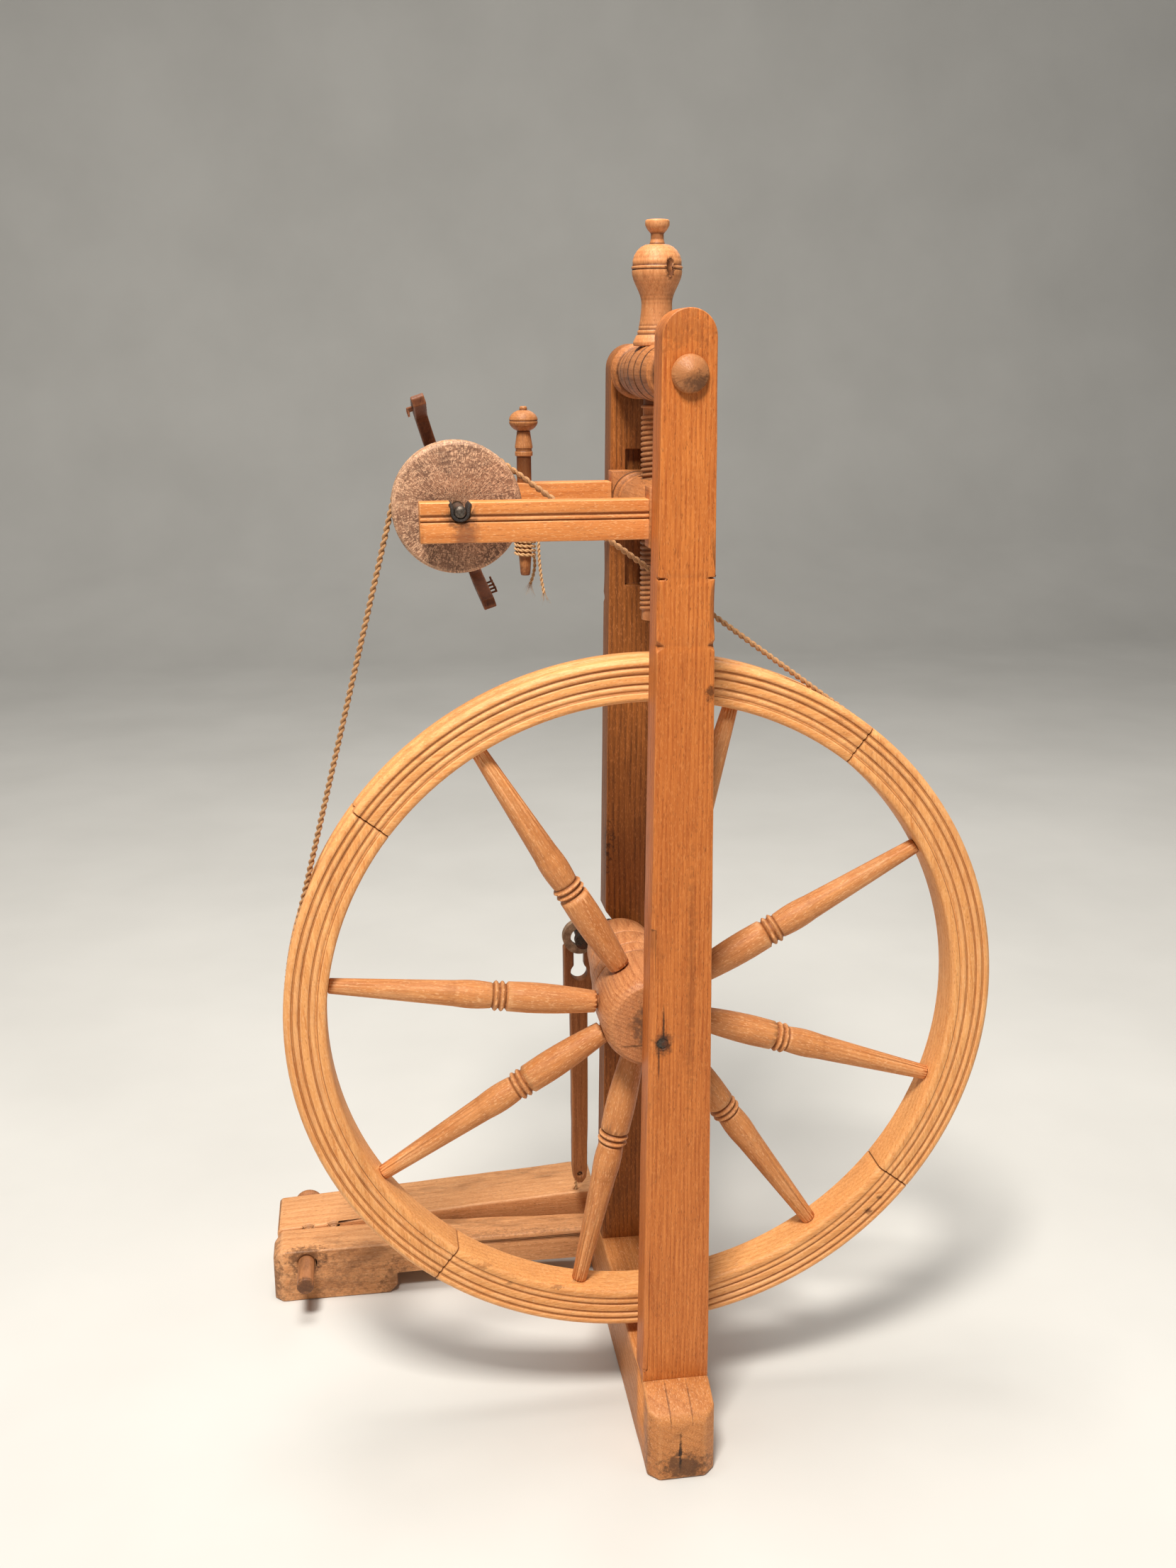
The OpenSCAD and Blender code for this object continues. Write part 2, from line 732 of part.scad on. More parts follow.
// Iron axle with the crank forged on its rear end
module axle() {
    front_end = front_out + 1;
    boss = 15;
    web = boss - 3;
    web_t = crank_t - 2;
    mid = crank_y + crank_t / 2;
    color("dimgray") {
        translate([0, front_end, axle_z])
            along_y() cylinder(h = mid - front_end, d = axle_d);
        translate([0, crank_y, axle_z])
            along_y() cylinder(h = crank_t, d = boss);
        translate([crank_pin_x, crank_y, crank_pin_z])
            along_y() cylinder(h = crank_t, d = boss);
        translate([0, mid - web_t / 2, axle_z])
            rotate([0, -crank_turn, 0])
                translate([0, 0, -web / 2])
                    cube([crank_throw, web_t, web]);
        translate([crank_pin_x, mid, crank_pin_z])
            along_y() cylinder(h = crank_pin_end - mid, d = crank_pin_d);
    }
}

// Leather loop that hangs on the crank pin and lies on the front of the footman's fork
module crank_loop() {
    color("gray") translate([crank_pin_x, loop_y, crank_pin_z - loop_drop])
        along_y() difference() {
            cylinder(h = loop_t, d = loop_od);
            translate([0, 0, -1]) cylinder(h = loop_t + 2, d = loop_id);
        }
}

// Footman outline seen along the axle, x from the crank pin
module footman_outline() {
    top_w = footman_top_w / 2;
    end_w = footman_end_w / 2;
    neck = fork_top - 62;
    polygon([[-top_w, fork_top - 3], [-top_w + 3, fork_top], [top_w - 3, fork_top], [top_w, fork_top - 3],
             [top_w, fork_top - 45], [end_w + 1, neck], [end_w, footman_end + 16], [end_w - 1, footman_end + 6],
             [end_w - 5, footman_end], [-end_w + 5, footman_end], [-end_w + 1, footman_end + 6],
             [-end_w, footman_end + 16], [-end_w - 1, neck], [-top_w, fork_top - 45]]);
}

module footman() {
    key_w = 10;
    key_hole_d = 16;
    key_z = fork_top - 28;
    color("sienna") translate([crank_pin_x, footman_y + footman_t, 0])
        rotate([90, 0, 0])
            difference() {
                linear_extrude(footman_t) footman_outline();
                translate([-key_w / 2, key_z, -1]) cube([key_w, 60, footman_t + 2]);
                translate([0, key_z, -1]) cylinder(h = footman_t + 2, d = key_hole_d);
                translate([0, tie_hole_z, -1]) cylinder(h = footman_t + 2, d = tie_hole_d);
            }
}

module treadle_tie() {
    color("goldenrod") tube(tie_route, tie_d, 8);
}

// Nut barrel: turned between two square plates, with a tongue on each plate for the posts' slots
module nut_barrel() {
    span = rear_plate - front_plate - 2 * arm_t;
    r = barrel_r;
    color("sienna") difference() {
        union() {
            translate([frame_offset, front_plate + arm_t - eps, barrel_z])
                along_y() rotate_extrude()
                    polygon(concat(
                        [[0, 0], [r * 0.86, 0], [r * 0.86, 7], [r * 0.64, 9], [r * 0.64, 15], [r * 0.8, 17],
                         [r * 0.8, 22], [r * 0.7, 24]],
                        [for (i = [0:12]) let (t = i / 12)
                            [r * (0.78 + 0.22 * sin(180 * t)), 25 + (span - 50) * t]],
                        [[r * 0.7, span - 24], [r * 0.8, span - 22], [r * 0.8, span - 17], [r * 0.64, span - 15],
                         [r * 0.64, span - 9], [r * 0.86, span - 7], [r * 0.86, span + 2 * eps],
                         [0, span + 2 * eps]]));
            plate(front_plate, -1);
            plate(rear_plate - arm_t, 1);
        }
        translate([frame_offset, barrel_mid, barrel_z - r - 1])
            cylinder(h = 2 * r + 2, d = nut_bore);
        translate([frame_offset - r, barrel_mid - screw_d, barrel_z + r - 4])
            cube([2 * r, 2 * screw_d, r]);
        arm_tenon(front_plate, 2 * seat_gap);
        arm_tenon(rear_plate - arm_t, 2 * seat_gap);
    }
}

module plate(y_low, side) {
    tongue_h = 24;
    translate([plate_left, y_low, barrel_z - plate_side / 2])
        cube([plate_side, arm_t, plate_side]);
    tongue_y = side > 0 ? y_low + arm_t - eps : y_low - tongue_d;
    translate([frame_offset - tongue_w / 2, tongue_y, barrel_z - tongue_h / 2])
        cube([tongue_w, tongue_d + eps, tongue_h]);
}

module arm_tenon(y_low, grow) {
    translate([plate_left - eps, y_low + (arm_t - arm_tenon_t - grow) / 2,
               arm_z + (arm_h - arm_tenon_h - grow) / 2])
        cube([arm_tenon_l + grow / 2 + eps, arm_tenon_t + grow, arm_tenon_h + grow]);
}

// Arm with its open bearing notch; the moulded line runs along the outer face
module arm(y_low, outer) {
    line = 1.6;
    line_y = outer < 0 ? y_low - eps : y_low + arm_t - line + eps;
    difference() {
        union() {
            translate([-arm_reach, y_low, arm_z])
                cube([arm_reach + plate_left, arm_t, arm_h]);
            arm_tenon(y_low, 0);
        }
        translate([-spindle_x, y_low - eps, spindle_z])
            along_y() cylinder(h = arm_t + 2 * eps, d = bearing_slot_w);
        translate([-spindle_x - bearing_slot_w / 2, y_low - eps, spindle_z])
            cube([bearing_slot_w, arm_t + 2 * eps, arm_h]);
        for (cut = [[0.51, 1], [0.63, 1.9]])
            translate([-arm_reach - 1, line_y, arm_z + arm_h * cut[0]])
                cube([arm_reach + plate_left + 1, line, cut[1]]);
    }
}

module front_arm() {
    color("peru") arm(front_plate, -1);
}

module rear_arm() {
    color("peru") difference() {
        arm(rear_plate - arm_t, 1);
        translate([-peg_x, rear_plate - arm_t / 2, arm_z - 1])
            cylinder(h = arm_h + 2, d = peg_d + 2 * running);
    }
}

// Leather bush in an arm's notch
module bearing(y_low) {
    color("black") translate([-spindle_x, y_low + (arm_t - bearing_t) / 2, spindle_z])
        along_y() difference() {
            cylinder(h = bearing_t, d = bearing_d);
            translate([0, 0, -1]) cylinder(h = bearing_t + 2, d = spindle_d + 2 * running);
        }
}

module front_bearing() {
    bearing(front_plate);
}

module rear_bearing() {
    bearing(rear_plate - arm_t);
}

// Knob and screw turned from one piece
module tension_screw() {
    k = knob_h;
    m = knob_d / 2;
    base = drum_top + shoulder_gap;
    neck_low = drum_z - drum_r - 2;
    color("burlywood") translate([frame_offset, barrel_mid, 0])
        rotate_extrude()
            polygon(concat(
                [[0, screw_low], [screw_d / 2 - 3, screw_low], [screw_d / 2, screw_low + 3],
                 [screw_d / 2, neck_low - 1], [neck_d / 2, neck_low], [neck_d / 2, base]],
                [[m * 0.9, base], [m * 0.92, base + k * 0.03], [m * 0.79, base + k * 0.085],
                 [m * 0.74, base + k * 0.09], [m * 0.75, base + k * 0.12], [m * 0.69, base + k * 0.13],
                 [m * 0.7, base + k * 0.154]],
                [for (i = [0:6]) [m * (0.68 - 0.08 * sin(15 * i)), base + k * (0.165 + 0.175 * i / 6)]],
                [for (i = [1:8]) [m * (0.79 - 0.19 * cos(22.5 * i)), base + k * (0.34 + 0.26 * i / 8)]],
                [[m * 0.95, base + k * 0.607], [m * 0.99, base + k * 0.614], [m, base + k * 0.63],
                 [m * 0.95, base + k * 0.637]],
                [for (i = [1:6]) [m * (0.3 + 0.67 * cos(15 * i)), base + k * (0.638 + 0.17 * sin(15 * i))]],
                [[m * 0.25, base + k * 0.85], [m * 0.25, base + k * 0.89], [m * 0.38, base + k * 0.92],
                 [m * 0.47, base + k * 0.955], [m * 0.47, base + k * 0.99], [m * 0.42, base + k], [0, base + k]]));
}

module spindle() {
    color("dimgray") translate([-spindle_x, spindle_front, spindle_z])
        along_y() cylinder(h = spindle_rear - spindle_front, d = spindle_d);
}

// Whorl: a disc with a cord groove, on the spindle
module whorl() {
    r = whorl_r;
    t = whorl_t / 2;
    color("rosybrown") difference() {
        translate([-spindle_x, 0, spindle_z])
            along_y() rotate_extrude($fn = 96)
                polygon([[0, -t], [r - 2, -t], [r, -t + 2], [r, -groove_w / 2], [r - groove_d, -1.5],
                         [r - groove_d, 1.5], [r, groove_w / 2], [r, t - 2], [r - 2, t], [0, t]]);
        spindle_bore(-t, 2 * t);
    }
}

module spindle_bore(y, l) {
    translate([-spindle_x, y - eps, spindle_z])
        along_y() cylinder(h = l + 2 * eps, d = spindle_d + 2 * seat_gap);
}

// Plan of the flyer in its own plane: u across the spindle, y along it
module yoke_half(s) {
    w = flyer_arm_w;
    bow = flyer_r - 8;
    polygon(concat(
        [[0, yoke_y], [0, yoke_y + yoke_t]],
        [for (i = [0:6]) [s * (18 + (bow - 18) * sin(90 * i / 6)), yoke_y + yoke_t - 34 * (1 - cos(90 * i / 6))]],
        [[s * flyer_r, tip_y + 2], [s * (flyer_r - 2), tip_y], [s * (flyer_r - w + 2), tip_y]],
        [for (i = [6:-1:0])
            [s * (18 + (bow - w - 18) * sin(90 * i / 6)), yoke_y - 24 * (1 - cos(90 * i / 6))]]));
}

module yoke_frame() {
    translate([-spindle_x, 0, spindle_z])
        rotate([0, -flyer_turn, 0]) children();
}

module flyer_yoke() {
    depth = yoke_depth;
    color("saddlebrown") difference() {
        union() {
            yoke_frame()
                translate([0, 0, -depth / 2])
                    linear_extrude(depth) {
                        yoke_half(1);
                        yoke_half(-1);
                    }
            translate([-spindle_x, yoke_y, spindle_z])
                along_y() cylinder(h = yoke_t, d = 26);
        }
        spindle_bore(yoke_y - 10, yoke_t + 20);
    }
}

// Bent wire hooks along one side of each flyer arm
module flyer_hooks() {
    wire = 1.6;
    reach = 5;
    bent = 4;
    first = 22;
    step = 10;
    color("dimgray") yoke_frame()
        for (s = [-1, 1], i = [0:3])
            translate([s * (flyer_r - flyer_arm_w / 2 - 3 - i * 1.2), tip_y + first + i * step, s * yoke_depth / 2]) {
                translate([0, 0, s > 0 ? 0 : -reach]) cylinder(h = reach, d = wire, $fn = 24);
                translate([0, 0, s * (reach - wire / 2)])
                    rotate([0, -s * 90, 0]) cylinder(h = bent, d = wire, $fn = 24);
            }
}

// Bobbin: two discs on a hollow core that turns on the spindle
module bobbin() {
    l = bobbin_rear - bobbin_front;
    disc = 7;
    core = 9;
    color("sienna") translate([-spindle_x, bobbin_front, spindle_z])
        along_y() difference() {
            rotate_extrude()
                polygon([[0, 0], [bobbin_r - 1, 0], [bobbin_r, 1], [bobbin_r, disc - 1], [bobbin_r - 1, disc],
                         [core + 3, disc], [core, disc + 4], [core, l - disc - 14], [core + 3, l - disc - 10],
                         [bobbin_r - 1, l - disc - 10], [bobbin_r, l - disc - 9], [bobbin_r, l - disc - 5],
                         [bobbin_r - 4, l - disc - 3], [bobbin_r - 4, l - 2], [bobbin_r - 5, l], [0, l]]);
            translate([0, 0, -1]) cylinder(h = l + 2, d = spindle_d + 2 * running);
        }
}

// Point on the peg's ball, t from -1 at its lower pole to 1 at its upper pole
function peg_ball(r, collar, up, t) = [r * 1.98 * sqrt(1 - t * t), collar + up * (0.808 + 0.148 * t)];

// Turned brake peg in the rear arm
module brake_peg() {
    r = peg_d / 2;
    collar = arm_z + arm_h + shoulder_gap;
    up = peg_top - collar;
    color("sienna") translate([-peg_x, rear_plate - arm_t / 2, 0])
        rotate_extrude()
            polygon(concat(
                [[0, peg_low], [r * 0.6, peg_low], [r * 0.7, peg_low + 2], [r * 0.86, arm_z - 33],
                 [r * 0.93, arm_z - 31], [r, arm_z - 8], [r, collar + up * 0.34],
                 [r * 1.2, collar + up * 0.345], [r * 1.22, collar + up * 0.4],
                 [r * 1.1, collar + up * 0.41], [r * 1.12, collar + up * 0.44], [r * 1.22, collar + up * 0.45],
                 [r * 1.2, collar + up * 0.48], [r * 0.95, collar + up * 0.63], [r * 0.93, collar + up * 0.66]],
                [for (i = [0:5]) peg_ball(r, collar, up, -0.9 + 0.165 * i)],
                [[r * 1.86, collar + up * 0.808]],
                [for (i = [0:5]) peg_ball(r, collar, up, 0.075 + 0.165 * i)],
                [[r * 0.52, collar + up * 0.95], [r * 0.52, peg_top - 1], [r * 0.4, peg_top], [0, peg_top]]));
}

function wrap_path() =
    let (n = 24 * wrap_turns)
    concat(
        [[wrap_r, -tie_d, wrap_top]],
        [for (i = [0:n]) let (a = 360 * i / 24)
            [wrap_r * cos(a), wrap_r * sin(a), wrap_top - wrap_pitch * i / 24]],
        [[wrap_r, tie_d, wrap_top - wrap_pitch * wrap_turns]]);

module at_peg() {
    translate([-peg_x, rear_plate - arm_t / 2, 0]) children();
}

module brake_cord_wrap() {
    path = wrap_path();
    echo(least_gap_of_winding = self_gap(path, 12) - tie_d);
    color("goldenrod") at_peg() tube(path, tie_d, 6);
}

module brake_cord_long() {
    start = [wrap_r, -tie_d, wrap_top];
    color("goldenrod") at_peg() tube(concat([start], long_tail), tie_d, 8);
}

module brake_cord_short() {
    start = [wrap_r, tie_d, wrap_top - wrap_pitch * wrap_turns];
    color("goldenrod") at_peg() tube(concat([start], short_tail), tie_d, 8);
}

cross_beam();
front_post();
rear_post();
side_beam();
treadle_pin();
top_drum();
drum_cap_front();
drum_cap_rear();
drive_band();
treadle();
hub();
axle();
for (i = [1:8])
    spoke(i - 1);
for (i = [1:felloe_n]) {
    felloe(i - 1);
    felloe_key(i - 1);
}
footman();
crank_loop();
treadle_tie();
nut_barrel();
front_arm();
rear_arm();
front_bearing();
rear_bearing();
tension_screw();
spindle();
whorl();
flyer_yoke();
flyer_hooks();
bobbin();
brake_peg();
brake_cord_wrap();
brake_cord_long();
brake_cord_short();
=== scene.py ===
import math
import random

import bmesh
import bpy
from mathutils import Matrix, Vector, noise


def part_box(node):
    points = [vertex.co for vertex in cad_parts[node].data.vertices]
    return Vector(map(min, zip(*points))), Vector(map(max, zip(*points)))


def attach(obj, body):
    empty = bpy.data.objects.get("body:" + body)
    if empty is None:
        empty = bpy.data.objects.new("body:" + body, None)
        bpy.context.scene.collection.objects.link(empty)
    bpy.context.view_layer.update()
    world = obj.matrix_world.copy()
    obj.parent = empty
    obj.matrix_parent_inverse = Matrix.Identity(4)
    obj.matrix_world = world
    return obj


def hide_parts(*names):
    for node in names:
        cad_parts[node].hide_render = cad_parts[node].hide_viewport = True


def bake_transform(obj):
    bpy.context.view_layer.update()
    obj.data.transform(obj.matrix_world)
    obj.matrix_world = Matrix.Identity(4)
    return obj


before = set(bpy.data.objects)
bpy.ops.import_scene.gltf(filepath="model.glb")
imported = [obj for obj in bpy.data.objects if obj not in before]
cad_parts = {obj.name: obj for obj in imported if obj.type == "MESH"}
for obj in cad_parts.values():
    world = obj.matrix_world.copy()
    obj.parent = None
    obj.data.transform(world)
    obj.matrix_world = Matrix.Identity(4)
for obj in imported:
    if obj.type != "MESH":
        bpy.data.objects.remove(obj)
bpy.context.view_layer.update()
scene = bpy.context.scene
scene.view_settings.view_transform = "Standard"

# the camera fitted to the photo: metres, degrees, focal length and height in the photo's pixels
viewSet = {"place": (-0.2170, -1.1483, 0.8911), "pitch": 15.553, "yaw": 8.433, "roll": -0.175, "focal": 2155.4,
           "photoHeight": 2212, "sensor": 36.0}

eye = bpy.data.cameras.new("photoEye")
eye.sensor_fit = "VERTICAL"
eye.sensor_height = viewSet["sensor"]
eye.lens = viewSet["focal"] / viewSet["photoHeight"] * viewSet["sensor"]
eyeObject = bpy.data.objects.new("photoEye", eye)
scene.collection.objects.link(eyeObject)
turn = (Matrix.Rotation(math.radians(-viewSet["yaw"]), 4, "Z")
        @ Matrix.Rotation(math.radians(90 - viewSet["pitch"]), 4, "X")
        @ Matrix.Rotation(math.radians(viewSet["roll"]), 4, "Z"))
eyeObject.matrix_world = Matrix.Translation(viewSet["place"]) @ turn
scene.camera = eyeObject
print("camera set")


def freeAll():
    if bpy.context.mode != "OBJECT":
        bpy.ops.object.mode_set(mode="OBJECT")
    bpy.ops.object.select_all(action="DESELECT")


def grip(piece):
    freeAll()
    piece.select_set(True)
    bpy.context.view_layer.objects.active = piece


def openMesh(action="SELECT"):
    bpy.ops.object.mode_set(mode="EDIT")
    bpy.ops.mesh.select_all(action=action)


def closeMesh():
    bpy.ops.object.mode_set(mode="OBJECT")


def modify(piece, kind, **settings):
    grip(piece)
    step = piece.modifiers.new("step", kind)
    for key, value in settings.items():
        setattr(step, key, value)
    bpy.ops.object.modifier_apply(modifier=step.name)


def newPiece(name, verts, faces, edges=()):
    mesh = bpy.data.meshes.new(name)
    mesh.from_pydata(verts, edges, faces)
    mesh.update()
    piece = bpy.data.objects.new(name, mesh)
    scene.collection.objects.link(piece)
    return piece


def pointAttribute(piece, name, values, kind="FLOAT"):
    layer = piece.data.attributes.new(name, kind, "POINT")
    if kind == "FLOAT":
        layer.data.foreach_set("value", values)
    else:
        layer.data.foreach_set("vector", [c for v in values for c in v])


def inMetres(point):
    return Vector(c / 1000 for c in point)


def srgb(tone):
    shares = [c / 255 for c in tone]
    return tuple(c / 12.92 if c <= 0.04045 else ((c + 0.055) / 1.055) ** 2.4 for c in shares) + (1.0,)


# a curve is first drawn in steps this share of the wanted one; a heading this near to Y takes X as its side
routeSet = {"fine": 0.25, "leastFine": 4, "leastEven": 3, "nearY": 0.2}


def smoothRoute(points, step):
    pts = [Vector(p) for p in points]
    ext = [pts[0] * 2 - pts[1]] + pts + [pts[-1] * 2 - pts[-2]]
    dense = []
    for a, b, c, d in zip(ext, ext[1:], ext[2:], ext[3:]):
        count = max(routeSet["leastFine"], int((c - b).length / (step * routeSet["fine"])))
        for k in range(count):
            t = k / count
            dense.append(0.5 * ((2 * b) + (c - a) * t + (2 * a - 5 * b + 4 * c - d) * t * t
                                + (3 * b - a - 3 * c + d) * t ** 3))
    dense.append(pts[-1])
    return evenRoute(dense, step)


def evenRoute(dense, step):
    total = routeLength(dense)
    count = max(routeSet["leastEven"], round(total / step))
    even, i, walked = [dense[0].copy()], 0, 0.0
    for k in range(1, count):
        goal = total * k / count
        while walked + (dense[i + 1] - dense[i]).length < goal:
            walked += (dense[i + 1] - dense[i]).length
            i += 1
        span = (dense[i + 1] - dense[i]).length
        even.append(dense[i].lerp(dense[i + 1], (goal - walked) / span))
    even.append(dense[-1].copy())
    return even


def routeLength(route):
    return sum((b - a).length for a, b in zip(route, route[1:]))


def carriedFrames(route, closed=False):
    count = len(route)
    heads = []
    for i in range(count):
        a = route[(i - 1) % count] if closed or i else route[0]
        b = route[(i + 1) % count] if closed or i < count - 1 else route[-1]
        heads.append((b - a).normalized())
    side = Vector((0, 1, 0)) - heads[0] * heads[0].y
    if side.length < routeSet["nearY"]:
        side = Vector((1, 0, 0)) - heads[0] * heads[0].x
    side.normalize()
    frames = []
    for head in heads:
        side = (side - head * side.dot(head)).normalized()
        frames.append((side.copy(), head.cross(side)))
    return frames


def aside(across, angle):
    return across[0] * math.cos(angle) + across[1] * math.sin(angle)


def tubeFaces(base, rows, sides, closed=False):
    faces = []
    for i in range(rows if closed else rows - 1):
        here, there = base + i * sides, base + (i + 1) % rows * sides
        for j in range(sides):
            k = (j + 1) % sides
            faces.append((here + j, here + k, there + k, there + j))
    if not closed:
        faces.append(tuple(base + j for j in reversed(range(sides))))
        faces.append(tuple(base + (rows - 1) * sides + j for j in range(sides)))
    return faces


def cordPiece(name, verts, faces, along):
    piece = newPiece(name, verts, faces)
    grip(piece)
    bpy.ops.object.shade_smooth()
    pointAttribute(piece, "cordCo", along, "FLOAT_VECTOR")
    return piece


# radius and spread are shares of the cord's diameter, and a ply thins now and then
plySet = {"radius": 0.265, "spread": 0.235, "full": 0.985, "thin": 0.1, "thinRate": 190, "apart": 7.0, "toneStep": 3.7}


def twistedCord(name, route, settings, closed=False):
    frames = carriedFrames(route, closed)
    plies, sides = settings["plies"], settings["sides"]
    plyR, spread = (settings["diameter"] * plySet[key] for key in ("radius", "spread"))
    total = routeLength(route) + ((route[0] - route[-1]).length if closed else 0)
    turns = max(1, round(total / settings["lay"]))
    verts, faces, along = [], [], []
    for ply in range(plies):
        faces += tubeFaces(len(verts), len(route), sides, closed)
        walked = 0.0
        for i, point in enumerate(route):
            if i:
                walked += (point - route[i - 1]).length
            spin = 2 * math.pi * (turns * walked / total + ply / plies)
            heart = point + aside(frames[i], spin) * spread
            lump = noise.noise((walked * plySet["thinRate"], ply * plySet["apart"], settings["seed"]))
            swell = plyR * (plySet["full"] - plySet["thin"] * abs(lump))
            for j in range(sides):
                a = 2 * math.pi * j / sides
                verts.append(heart + aside(frames[i], a) * swell)
                along.append((walked, (a - spin) / (2 * math.pi), ply * plySet["toneStep"]))
    return cordPiece(name, verts, faces, along), strayFibres(name + "Fibres", route, frames, settings)


# fibres that stand off a cord, then those at a cut end; foot is a share of the cord's diameter
fibreSet = {"at": (0.0, 0.4, 0.75, 1.0), "lift": (0.3, 0.8), "foot": 0.42}
fraySet = {"at": (0.0, 0.35, 0.7, 1.0), "lift": (0.1, 0.75), "foot": (0.05, 0.36), "back": 0.002, "sag": 0.18,
           "thick": 1.25, "firstTone": 50}
hairSet = {"sides": 3, "taper": 0.75, "toneStep": 0.013, "rowStep": 0.001, "tone": 9.0}


def strayFibres(name, route, frames, settings):
    rng = random.Random(settings["seed"])
    verts, faces, along = [], [], []
    for k in range(settings["fibres"]):
        i = rng.randrange(2, len(route) - 2)
        out = aside(frames[i], rng.uniform(0, 2 * math.pi))
        head = (route[i + 1] - route[i - 1]).normalized()
        length = rng.uniform(*settings["fibreLength"])
        lift = rng.uniform(*fibreSet["lift"])
        strand = [route[i] + out * settings["diameter"] * fibreSet["foot"] + head * length * t
                  + out * lift * length * t * t for t in fibreSet["at"]]
        addHair(verts, faces, along, strand, settings["fibreR"], k)
    tip, head = route[-1], (route[-1] - route[-3]).normalized()
    for k in range(settings.get("frayCount", 0)):
        a, lift = rng.uniform(0, 2 * math.pi), rng.uniform(*fraySet["lift"])
        out = aside(frames[-1], a)
        length = rng.uniform(*settings["frayLength"])
        root = tip - head * fraySet["back"] + out * settings["diameter"] * rng.uniform(*fraySet["foot"])
        strand = [root + head * length * t + out * lift * length * t * t
                  - Vector((0, 0, fraySet["sag"] * length * t * t)) for t in fraySet["at"]]
        addHair(verts, faces, along, strand, settings["fibreR"] * fraySet["thick"], fraySet["firstTone"] + k)
    return cordPiece(name, verts, faces, along)


def addHair(verts, faces, along, strand, radius, tone):
    frames = carriedFrames(strand)
    sides, rows = hairSet["sides"], len(strand)
    faces += tubeFaces(len(verts), rows, sides)
    for i, point in enumerate(strand):
        r = radius * (1.0 - hairSet["taper"] * i / (rows - 1))
        for j in range(sides):
            verts.append(point + aside(frames[i], 2 * math.pi * j / sides) * r)
            along.append((tone * hairSet["toneStep"] + i * hairSet["rowStep"], j / sides, hairSet["tone"]))


# wheel and whorl: centre x, z and the cord's radius there
bandSet = {"wheel": (0.0, 0.377, 0.2909), "whorl": (-0.145, 0.786, 0.0459), "diameter": 0.005, "plies": 2, "sides": 8,
           "lay": 0.0115, "step": 0.0017, "seed": 3, "fibres": 60, "fibreLength": (0.002, 0.006), "fibreR": 0.00008,
           "whorlSteps": 60, "wheelSteps": 360}


def bandRoute():
    wx, wz, wr = bandSet["wheel"]
    hx, hz, hr = bandSet["whorl"]
    lean = math.atan2(hz - wz, hx - wx)
    spread = math.acos((wr - hr) / math.hypot(hx - wx, hz - wz))
    dense = []
    for cx, cz, r, a, b, n in ((hx, hz, hr, lean - spread, lean + spread, bandSet["whorlSteps"]),
                               (wx, wz, wr, lean + spread, lean - spread + 2 * math.pi, bandSet["wheelSteps"])):
        for i in range(n + 1):
            t = a + (b - a) * i / n
            dense.append(Vector((cx + r * math.cos(t), 0, cz + r * math.sin(t))))
    dense.append(dense[0].copy())
    return evenRoute(dense, bandSet["step"])[:-1]


driveBand, bandFibres = twistedCord("driveBand", bandRoute(), bandSet, closed=True)
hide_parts("drive_band")

thinCord = {"diameter": 0.003, "plies": 2, "sides": 8, "lay": 0.0085, "step": 0.0008, "fibreR": 0.00009}

# the two free ends are given in mm, from the peg's axis and from the floor
brakeSet = dict(thinCord, **{
    "peg": (-0.080, 0.13065), "seed": 11, "turns": 6, "turnSteps": 48, "pitch": 0.0036, "radius": 0.00785,
    "top": 0.7545, "straight": 0.003, "fibres": 14, "fibreLength": (0.002, 0.006), "frayCount": 26,
    "frayLength": (0.004, 0.011),
    "long": [(8, -6, 754.2), (10, -8, 751), (10.5, -8, 745), (10.5, -8, 738), (11, -7, 729), (12, -6, 719),
             (13.5, -5, 709), (15, -5, 701)],
    "short": [(8, 6, 733), (8, 9, 731), (9, 11, 727), (9, 11, 721), (7.5, 10, 714), (5, 10, 707)]})


def brakeRoutes():
    px, py = brakeSet["peg"]
    r, top, pitch = brakeSet["radius"], brakeSet["top"], brakeSet["pitch"]
    coil = [Vector((px + r, py - brakeSet["straight"], top))]
    for i in range(brakeSet["turns"] * brakeSet["turnSteps"] + 1):
        a = 2 * math.pi * i / brakeSet["turnSteps"]
        coil.append(Vector((px + r * math.cos(a), py + r * math.sin(a), top - pitch * a / (2 * math.pi))))
    coil.append(Vector((px + r, py + brakeSet["straight"], top - brakeSet["turns"] * pitch)))
    routes = [evenRoute(coil, brakeSet["step"])]
    for start, key in ((coil[0], "long"), (coil[-1], "short")):
        points = [inMetres(p) + Vector((px, py, 0)) for p in brakeSet[key]]
        routes.append(smoothRoute([start] + points, brakeSet["step"]))
    return routes


coilRoute, longRoute, shortRoute = brakeRoutes()
windingSet = dict(brakeSet, frayCount=0, seed=12)
brakeWinding, windingFibres = twistedCord("brakeWinding", coilRoute, windingSet)
brakeLong, longFray = twistedCord("brakeLongEnd", longRoute, brakeSet)
brakeShort, shortFray = twistedCord("brakeShortEnd", shortRoute, dict(brakeSet, seed=17))
for piece, hairs, route, node, lay in ((brakeWinding, windingFibres, coilRoute, "brake_cord_wrap", "coiled"),
                                       (brakeLong, longFray, longRoute, "brake_cord_long", "hanging"),
                                       (brakeShort, shortFray, shortRoute, "brake_cord_short", "hanging")):
    for part in (piece, hairs):
        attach(part, "brake_peg")
    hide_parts(node)

